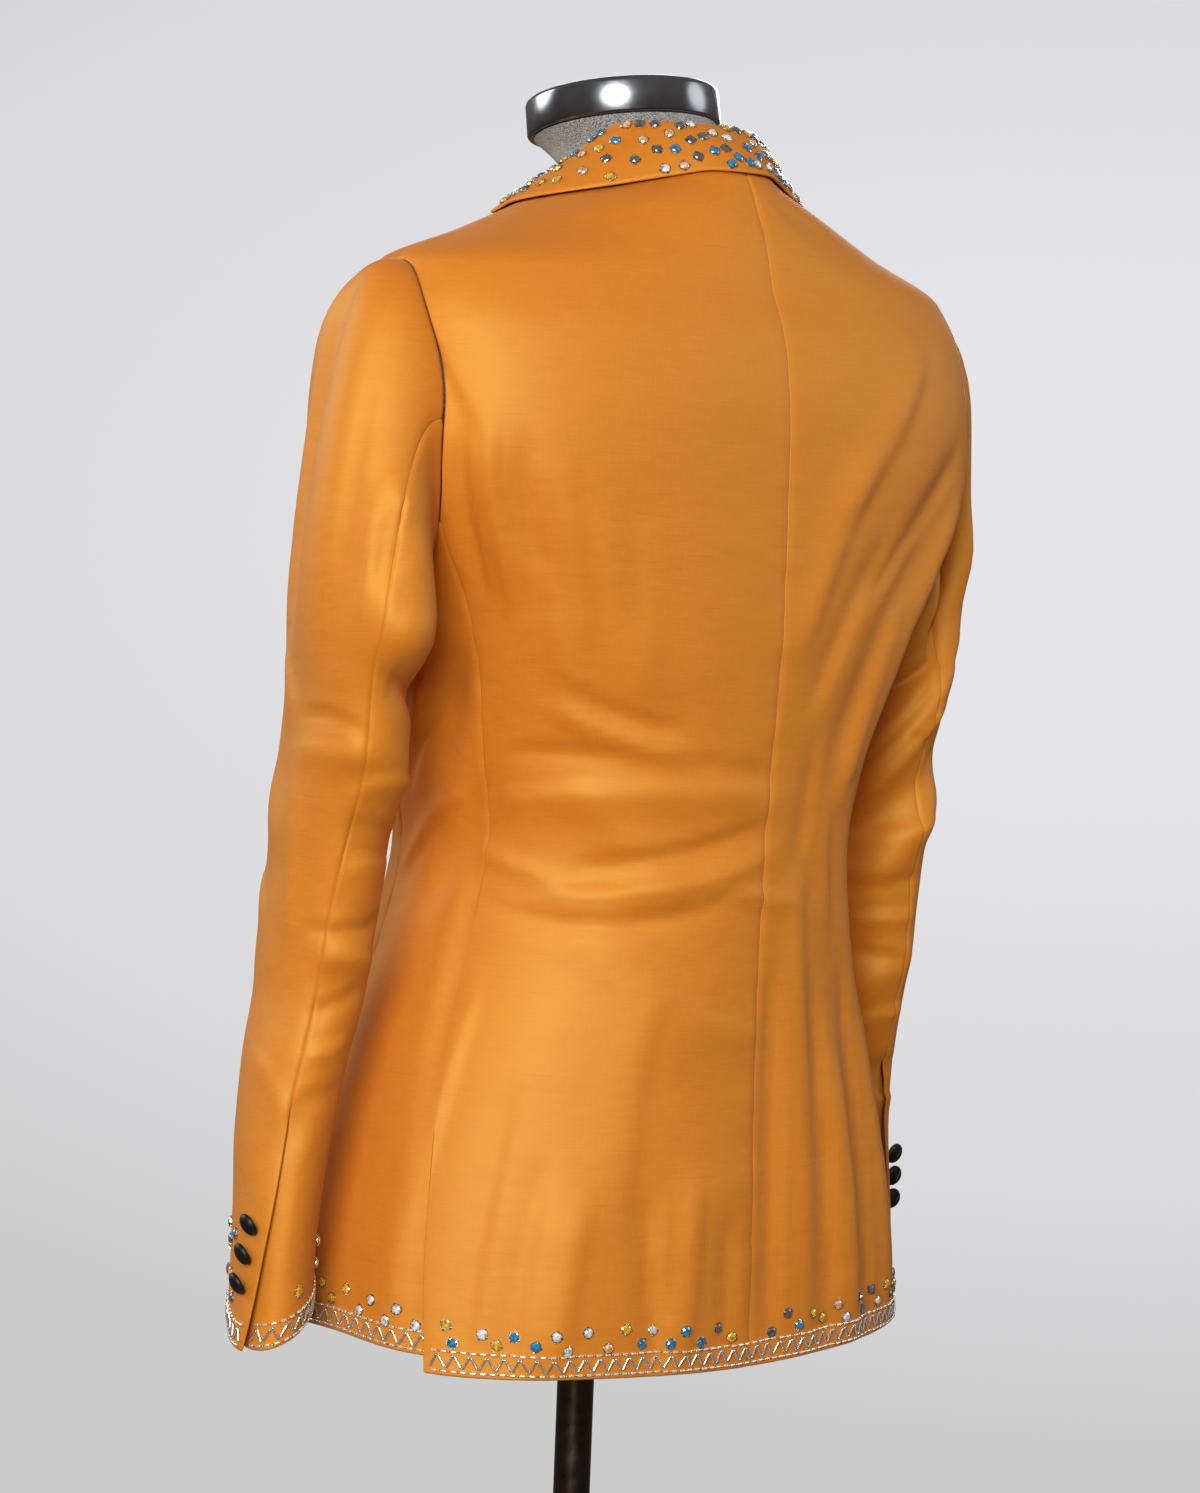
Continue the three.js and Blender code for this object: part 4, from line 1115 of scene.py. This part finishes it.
def bump_by(tree, bsdf, height, strength, distance, **more):
    inputs = {"Height": height, "Strength": strength, "Distance": distance, **more}
    tree.links.new(node(tree, "ShaderNodeBump", inputs).outputs[0], bsdf.inputs["Normal"])


def multiply(tree, a, b):
    mixed = node(tree, "ShaderNodeMix", {"Factor": 1.0, 6: a, 7: b}, data_type="RGBA", blend_type="MULTIPLY")
    return mixed.outputs[2]


def satin():
    """Two-tone shot satin: orange warp over a rosy weft, with fine level slubs."""
    tree, bsdf = material(
        "satin", (0.6, 0.2, 0.02), 0.6,
        Sheen_Weight=0.08, Sheen_Roughness=0.5, Sheen_Tint=(1.0, 0.45, 0.36, 1),
        IOR=1.65, Specular_IOR_Level=1.0, Specular_Tint=(1.0, 0.96, 0.30, 1), Anisotropic=0.3,
    )
    uv = cloth_place(tree)
    slub = noise(tree, scaled(tree, uv, (70, 1300, 1)), 1.0, 3.0)
    warp = noise(tree, scaled(tree, uv, (1500, 90, 1)), 1.0)
    broad = noise(tree, scaled(tree, uv, (6, 8, 1)), 1.0, 3.0)
    rare = noise(tree, scaled(tree, uv, (22, 520, 1)), 1.0, 1.0)
    threads = blend(tree, slub, warp)
    tone = ramp(tree, threads, [(0.25, (0.520, 0.142, 0.005)), (0.75, (0.650, 0.190, 0.010))])
    streak = ramp(tree, rare, [(0.66, grey(1.0)), (0.80, (0.90, 0.86, 0.84))])
    hue = ramp(tree, broad, [(0.3, (0.97, 0.95, 0.95)), (0.7, (1.02, 1.03, 1.05))])
    tree.links.new(multiply(tree, multiply(tree, tone, hue), streak), bsdf.inputs["Base Color"])
    colour_by(tree, bsdf, threads, grey(0.60), grey(0.68), socket="Roughness")
    sway = noise(tree, scaled(tree, uv, (16, 24, 1)), 1.0, 3.0)
    soft = node(tree, "ShaderNodeBump", {"Height": sway, "Strength": 0.4, "Distance": 0.004}).outputs[0]
    weave = noise(tree, scaled(tree, uv, (1100, 2600, 1)), 1.0, 1.0)
    bump_by(tree, bsdf, blend(tree, slub, weave), 0.12, 0.0003, Normal=soft)
    tangent = node(tree, "ShaderNodeTangent", direction_type="UV_MAP", uv_map="cloth").outputs[0]
    tree.links.new(tangent, bsdf.inputs["Tangent"])


def lining():
    """Brown twill."""
    tree, bsdf = material("lining", (0.30, 0.11, 0.035), 0.36, Sheen_Weight=0.2, Specular_IOR_Level=0.5)
    twill = wave(tree, scaled(tree, cloth_place(tree), (1, 1, 1), 0.8), 600.0, 0.6)
    colour_by(tree, bsdf, twill, (0.26, 0.095, 0.03), (0.34, 0.13, 0.045), 0.2, 0.8)
    bump_by(tree, bsdf, twill, 0.15, 0.0002)


def knit():
    """Speckled grey jersey stretched over the form."""
    tree, bsdf = material("knit", grey(0.3), 0.92, Sheen_Weight=0.35, Sheen_Roughness=0.6)
    co = place_of(tree)
    speck = noise(tree, scaled(tree, co, (1, 1, 1.6)), 1000.0, 3.0)
    colour_by(tree, bsdf, speck, (0.07, 0.07, 0.075), grey(0.36), 0.42, 0.58)
    rib = wave(tree, co, 300.0, 2.0)
    bump_by(tree, bsdf, math_node(tree, "ADD", rib, speck), 0.5, 0.0004)


def finish(name, base, rough, metal, scale, bump=0.1, distance=0.0002, vary=0.12, **sockets):
    """A finish whose colour, roughness and surface vary a little, in object space; a large vary, as on the
    stones, paints light and dark facet reflections into the colour.
    """
    tree, bsdf = material(name, base, rough, metal, **sockets)
    n = noise(tree, place_of(tree), scale, 4.0)
    low, high = (tuple(c * k for c in base) for k in (1 - vary, 1 + vary))
    colour_by(tree, bsdf, n, low, high)
    colour_by(tree, bsdf, n, grey(rough * 0.8), grey(rough * 1.2), socket="Roughness")
    bump_by(tree, bsdf, n, bump, distance)


def floor_finish():
    """Plain pale floor that fades out into the backdrop."""
    tree, bsdf = material("floor", grey(0.42), 0.9)
    co = place_of(tree)
    colour_by(tree, bsdf, noise(tree, co, 3.0), grey(0.41), grey(0.43))
    away = node(tree, "ShaderNodeVectorMath", {0: co}, operation="LENGTH").outputs["Value"]
    colour_by(tree, bsdf, away, grey(1), grey(0), 0.45, 0.95, "Alpha")


STONE_TINTS = {
    "clear": (0.86, 0.88, 0.92), "smoky": (0.12, 0.12, 0.14), "golden": (0.92, 0.52, 0.03),
    "sapphire": (0.02, 0.27, 0.58), "peach": (0.90, 0.50, 0.30),
}
STONE_GLOSS = {"Specular_IOR_Level": 1.0, "Coat_Weight": 1.0, "Coat_Roughness": 0.03}


def make_materials():
    satin()
    lining()
    knit()
    finish("button_satin", (0.004, 0.004, 0.005), 0.46, 0, 2500, 0.25, 0.0001, 0.3, Specular_IOR_Level=0.35)
    finish("dark_chrome", (0.20, 0.215, 0.24), 0.22, 1.0, 60, 0.02, 0.0001, 0.08)
    finish("bronze", (0.060, 0.044, 0.034), 0.30, 1.0, 90, 0.08, 0.0002, 0.25)
    finish("silver", (0.62, 0.60, 0.57), 0.2, 1.0, 700, vary=0.5)
    finish("silver_bead", (0.86, 0.85, 0.82), 0.25, 0.6, 900, Specular_IOR_Level=0.8)
    finish("gold_bead", (0.80, 0.52, 0.16), 0.25, 1.0, 900)
    finish("bugle", grey(0.74), 0.16, 0.85, 700, 0.2, Specular_IOR_Level=0.8)
    # painted reflection: the stones' strong random colour variation stands in for the light and dark of their
    # facets' reflections
    for name, tint in STONE_TINTS.items():
        finish(name, tint, 0.08, 0.4, 420, 0.0, vary=0.65, **STONE_GLOSS)
    floor_finish()


# ------------------------------------------------------------------ build
def put(obj, slot, *nodes):
    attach(obj, "root")
    if nodes:
        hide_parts(*nodes)
    return obj


def make_cloth():
    pieces = {}
    for word, side in SIDES.items():
        for kind, panel in (("back", back_panel), ("side", side_panel), ("front", front_panel)):
            pieces[f"{kind}_{word}"] = panel(f"{kind}_{word}_cloth", side)
        for kind, piece in (("topsleeve", TOP), ("undersleeve", UNDER)):
            pieces[f"{kind}_{word}"] = sleeve_piece(f"{kind}_{word}_cloth", side, piece)
    pieces["shawl_collar"], grid = collar()
    pieces["collar_stand"] = collar_stand()
    for name, obj in pieces.items():
        put(obj, "satin", name)
    return pieces, grid


def button(name, radius, rise, point, axis):
    """Domed cloth-covered button on a thread shank."""
    shank = [[0.30 * radius, -0.6]]
    dome = np.array([[0.34, 0.02], [0.80, 0.04], [0.95, 0.10], [1.0, 0.22], [0.985, 0.38], [0.90, 0.60],
                     [0.74, 0.78], [0.52, 0.91], [0.26, 0.98], [0.08, 1.0]]) * [radius, rise]
    return lathe(name, [*shank, *dome], 36, "button_satin", point + axis * 0.75, axis, None)


def make_buttons():
    for word, side in SIDES.items():
        for k in range(3):
            z = BUTTON_LOW + k * BUTTON_PITCH
            p = arm_point(TOP, word, BUTTON_PART, z)
            across = arm_point(TOP, word, BUTTON_PART + 0.01, z) - arm_point(TOP, word, BUTTON_PART - 0.01, z)
            up = arm_point(TOP, word, BUTTON_PART, z + 2.0) - arm_point(TOP, word, BUTTON_PART, z - 2.0)
            p, n = p * [side, 1, 1], unit(np.cross(across, up)) * [side, 1, 1]
            axis = unit(n + BUTTON_HANG * unit(np.array([0.35 * side, -0.25, -1.1])))
            name = f"cuff_button_{word}_{k + 1}"
            made = button(f"{name}_satin", BUTTON_RADIUS, BUTTON_RISE, p + n * SHANK, axis)
            put(made, "button_satin", name)
    place = np.array(270.0), np.array(float(BUTTON_HEIGHT))
    size = FRONT_BUTTON_RADIUS, FRONT_BUTTON_RISE
    front = button("front_button_satin", *size, torso(*place), torso_normal(*place))
    put(front, "button_satin", "front_button")


def make_stand():
    put(form(), "knit", "form_body")
    r, h = CAP_RADIUS, CAP_HEIGHT
    cap = [[0.5, 0], [r - 2.5, 0], [r - 0.6, 0.4], [r, 1.4], [r, h - 7.4], [r - 0.4, h - 5.6],
           [r - 1.6, h - 4.4], [r - 3.4, h - 3.8], [52, h - 3.1], [40, h - 1.8], [24, h - 0.6],
           [8, h], [0.5, h]]
    axis, middle = unit(np.array([0, -NECK_TILT, 1])), (0, CAP_Y, NECK_TOP + CAP_LIFT)
    put(lathe("neck_cap_metal", cap, 120, "dark_chrome", middle, axis), "dark_chrome", "neck_cap")
    r, low, high = POLE_RADIUS, BASE_THICK + BASE_DOME + 0.3, FORM_BOTTOM - 0.3
    end = [[r - 1.4, 0], [r - 0.2, 1.2], [r, 2.4]]
    pole = [[x, low + z] for x, z in end] + [[x, high - z] for x, z in end[::-1]]
    put(lathe("pole_metal", pole, 64, "bronze"), "bronze", "pole")
    r, h = BASE_RADIUS, BASE_THICK + BASE_DOME
    base = [[1, 0], [r - 4, 0], [r - 0.8, 0.8], [r, 2.2], [r, 8.6], [r - 1, 11.4],
            [r - 4.4, BASE_THICK - 0.2], [160, 15.4], [110, 17.8], [76, 20.0], [44, 22.0],
            [26, h - 0.6], [24, h], [1, h]]
    put(lathe("stand_base_metal", base, 128, "bronze"), "bronze", "stand_base")


# ------------------------------------------------------------------ beads and stones on the cloth
BEAD_SLOTS = ["silver_bead", "gold_bead", "bugle"]
STONE_SLOTS = ["silver", *STONE_TINTS]
HEM_CENTRE, COLLAR_CENTRE = np.array([0, 10.0, 780.0]), np.array([0, 20.0, 1400.0])


def hem_trim(side, rng):
    beads, stones = Sprinkle(BEAD_SLOTS), Sprinkle(STONE_SLOTS)
    for place, ends in ((back_place, (0.5, 4.0)), (side_place, (16.0, 0.5)), (front_place, (0.5, 8.0))):
        surface = body_surface(place, side)
        border(beads, surface, HEM_CENTRE, ends)
        hem_stones(stones, surface, HEM_CENTRE, rng)
    return beads, stones


def cuff_trim(word, rng):
    beads, stones = Sprinkle(BEAD_SLOTS), Sprinkle(STONE_SLOTS)
    centre = np.array([245.0 * SIDES[word], -12.0, 805.0])
    for piece, ends, count, parts, width in (
        (TOP, (0.5, 3.0), 17, (0.06, 0.80), 150),
        (UNDER, (16.0, 0.5), 7, (0.35, 0.95), 90),
    ):
        surface = cuff_surface(piece, word)
        border(beads, surface, centre, ends)
        q = scatter(count, (parts, (19.0, 58.0)), 13.0, rng, (width, 1))
        p, along, up, n = surface_frame(surface, q[:, 0], q[:, 1], centre)
        add_stones(stones, p, n, rng)
    return beads, stones


def collar_trim(grid, rng):
    """Stones over the collar's fall and lapels, at places between the grid's points."""
    stones = Sprinkle(STONE_SLOTS)
    rows, cols = grid.shape[:2]
    q = scatter(COLLAR_STONES, ((6, rows - 7), (17.5, cols - 2.5)), 9.4, rng, (4.2, 1.9))
    i, j = q.astype(int).T
    fi, fj = (q - q.astype(int)).T[:, :, None]
    p = lerp(lerp(grid[i, j], grid[i + 1, j], fi), lerp(grid[i, j + 1], grid[i + 1, j + 1], fi), fj)
    n = normals_of(grid)[i, j]
    add_stones(stones, p, n * np.sign((n * (p - COLLAR_CENTRE)).sum(-1, keepdims=True)), rng)
    return stones


def make_trim(grid):
    """All beads and stones, as one piece of each for every hem side and cuff, and one piece of stones for the
    collar.
    """
    rng = np.random.default_rng(11)
    made = {}
    for word, side in SIDES.items():
        for kind, (beads, stones) in (("hem", hem_trim(side, rng)), ("cuff", cuff_trim(word, rng))):
            made[f"{kind}_beads_{word}"] = beads.build(f"{kind}_beads_{word}")
            made[f"{kind}_stones_{word}"] = stones.build(f"{kind}_stones_{word}", STONE_SHARP)
    made["collar_stones"] = collar_trim(grid, rng).build("collar_stones", STONE_SHARP)
    for obj in made.values():
        put(obj, None)
    return made


# ------------------------------------------------------------------ studio
# Softboxes: name, place, size, power and colour. The key stands beside the camera, the others fill in.
LIGHTS = [
    ("key", (3.2, 2.6, 2.25), 2.0, 197, (1.0, 0.97, 0.91)),
    ("back_right", (-2.6, 1.7, 2.2), 1.6, 18, (1.0, 0.97, 0.95)),
    ("front_left", (1.5, -2.9, 2.4), 1.8, 46, (1.0, 0.98, 0.95)),
    ("front_right", (-2.5, -2.1, 2.2), 1.8, 46, (1.0, 0.98, 0.95)),
]
PAINTED_LIGHT_SPOT = (-0.755, -0.665, 0.0)      # direction of the painted pool of light on the backdrop


def make_world():
    """Grey backdrop with a painted pool of light toward one place, seen only by the camera; it lights the
    object more weakly than it looks.
    """
    world = bpy.data.worlds.new("studio")
    bpy.context.scene.world = world
    world.use_nodes = True
    tree = world.node_tree
    tree.nodes.clear()
    direction = node(tree, "ShaderNodeTexCoord").outputs["Generated"]
    tall = scaled(tree, direction, (1, 1, 2))
    ends = {0: tall, 1: PAINTED_LIGHT_SPOT}
    away = node(tree, "ShaderNodeVectorMath", ends, operation="DISTANCE").outputs["Value"]
    # painted pool of light on the backdrop: lightest near the spot, darker further off
    backdrop_light_pool = [(0.09, (0.785, 0.775, 0.81)), (0.46, (0.60, 0.60, 0.605)), (0.34, (0.695, 0.695, 0.71))]
    tone = ramp(tree, away, backdrop_light_pool)
    seen = node(tree, "ShaderNodeBackground", {"Color": tone, "Strength": 1.0}).outputs[0]
    rise = node(tree, "ShaderNodeSeparateXYZ", {0: direction}).outputs["Z"]
    level = math_node(tree, "MULTIPLY_ADD", rise, 0.5)
    glow = ramp(tree, level, [(0.30, (0.22, 0.17, 0.14)), (0.80, (0.56, 0.50, 0.46))])
    light = node(tree, "ShaderNodeBackground", {"Color": glow, "Strength": 0.47}).outputs[0]
    camera_ray = node(tree, "ShaderNodeLightPath").outputs["Is Camera Ray"]
    mixed = node(tree, "ShaderNodeMixShader", {0: camera_ray, 1: light, 2: seen}).outputs[0]
    node(tree, "ShaderNodeOutputWorld", {0: mixed})


def make_floor():
    """A round floor; its rings let the fading edge stay smooth."""
    grid = rings([[400, 0], [900, 0], [1500, 0], [2200, 0]], round_angles(96))
    faces, ids = ring_faces(*grid.shape[:2])
    faces += [[ids.size, q, p] for p, q in zip(ids[0], np.roll(ids[0], -1))]
    points = np.concatenate([grid.reshape(-1, 3), [[0, 0, 0]]])
    return new_mesh("floor", points, [f[::-1] for f in faces], None, ["floor"])


def make_stage():
    scene = bpy.context.scene
    make_floor()
    for name, place, size, power, colour in LIGHTS:
        light = bpy.data.lights.new(name, "AREA")
        light.shape, light.size, light.energy, light.color = "DISK", size, power, colour
        obj = bpy.data.objects.new(name, light)
        obj.location = place
        obj.rotation_mode = "QUATERNION"
        obj.rotation_quaternion = (Vector((0, 0.02, 1.15)) - Vector(place)).to_track_quat("-Z", "Y")
        scene.collection.objects.link(obj)
    scene.view_settings.view_transform = "Standard"
    scene.view_settings.look = "None"


def make_camera():
    """Behind the form on its left, 2.5 m away and a little above the middle of the jacket."""
    theta, away, height = math.radians(42), 2.5, 1.288
    target, roll, focal_px, tall_px = Vector((0, 0, 1.144)), math.radians(2.2), 3880, 1493
    cam = bpy.data.cameras.new("camera")
    cam.sensor_fit, cam.sensor_width = "AUTO", 36
    cam.lens = focal_px / tall_px * 36
    obj = bpy.data.objects.new("camera", cam)
    place = Vector((away * math.sin(theta), away * math.cos(theta), height))
    obj.location = place
    obj.rotation_mode = "QUATERNION"
    obj.rotation_quaternion = (target - place).to_track_quat("-Z", "Y") @ Quaternion((0, 0, 1), roll)
    bpy.context.scene.collection.objects.link(obj)
    bpy.context.scene.camera = obj


# ------------------------------------------------------------------ the whole scene
make_materials()
make_camera()
make_world()
make_stage()
cloth, collar_points = make_cloth()
make_buttons()
make_stand()
trim_pieces = make_trim(collar_points)
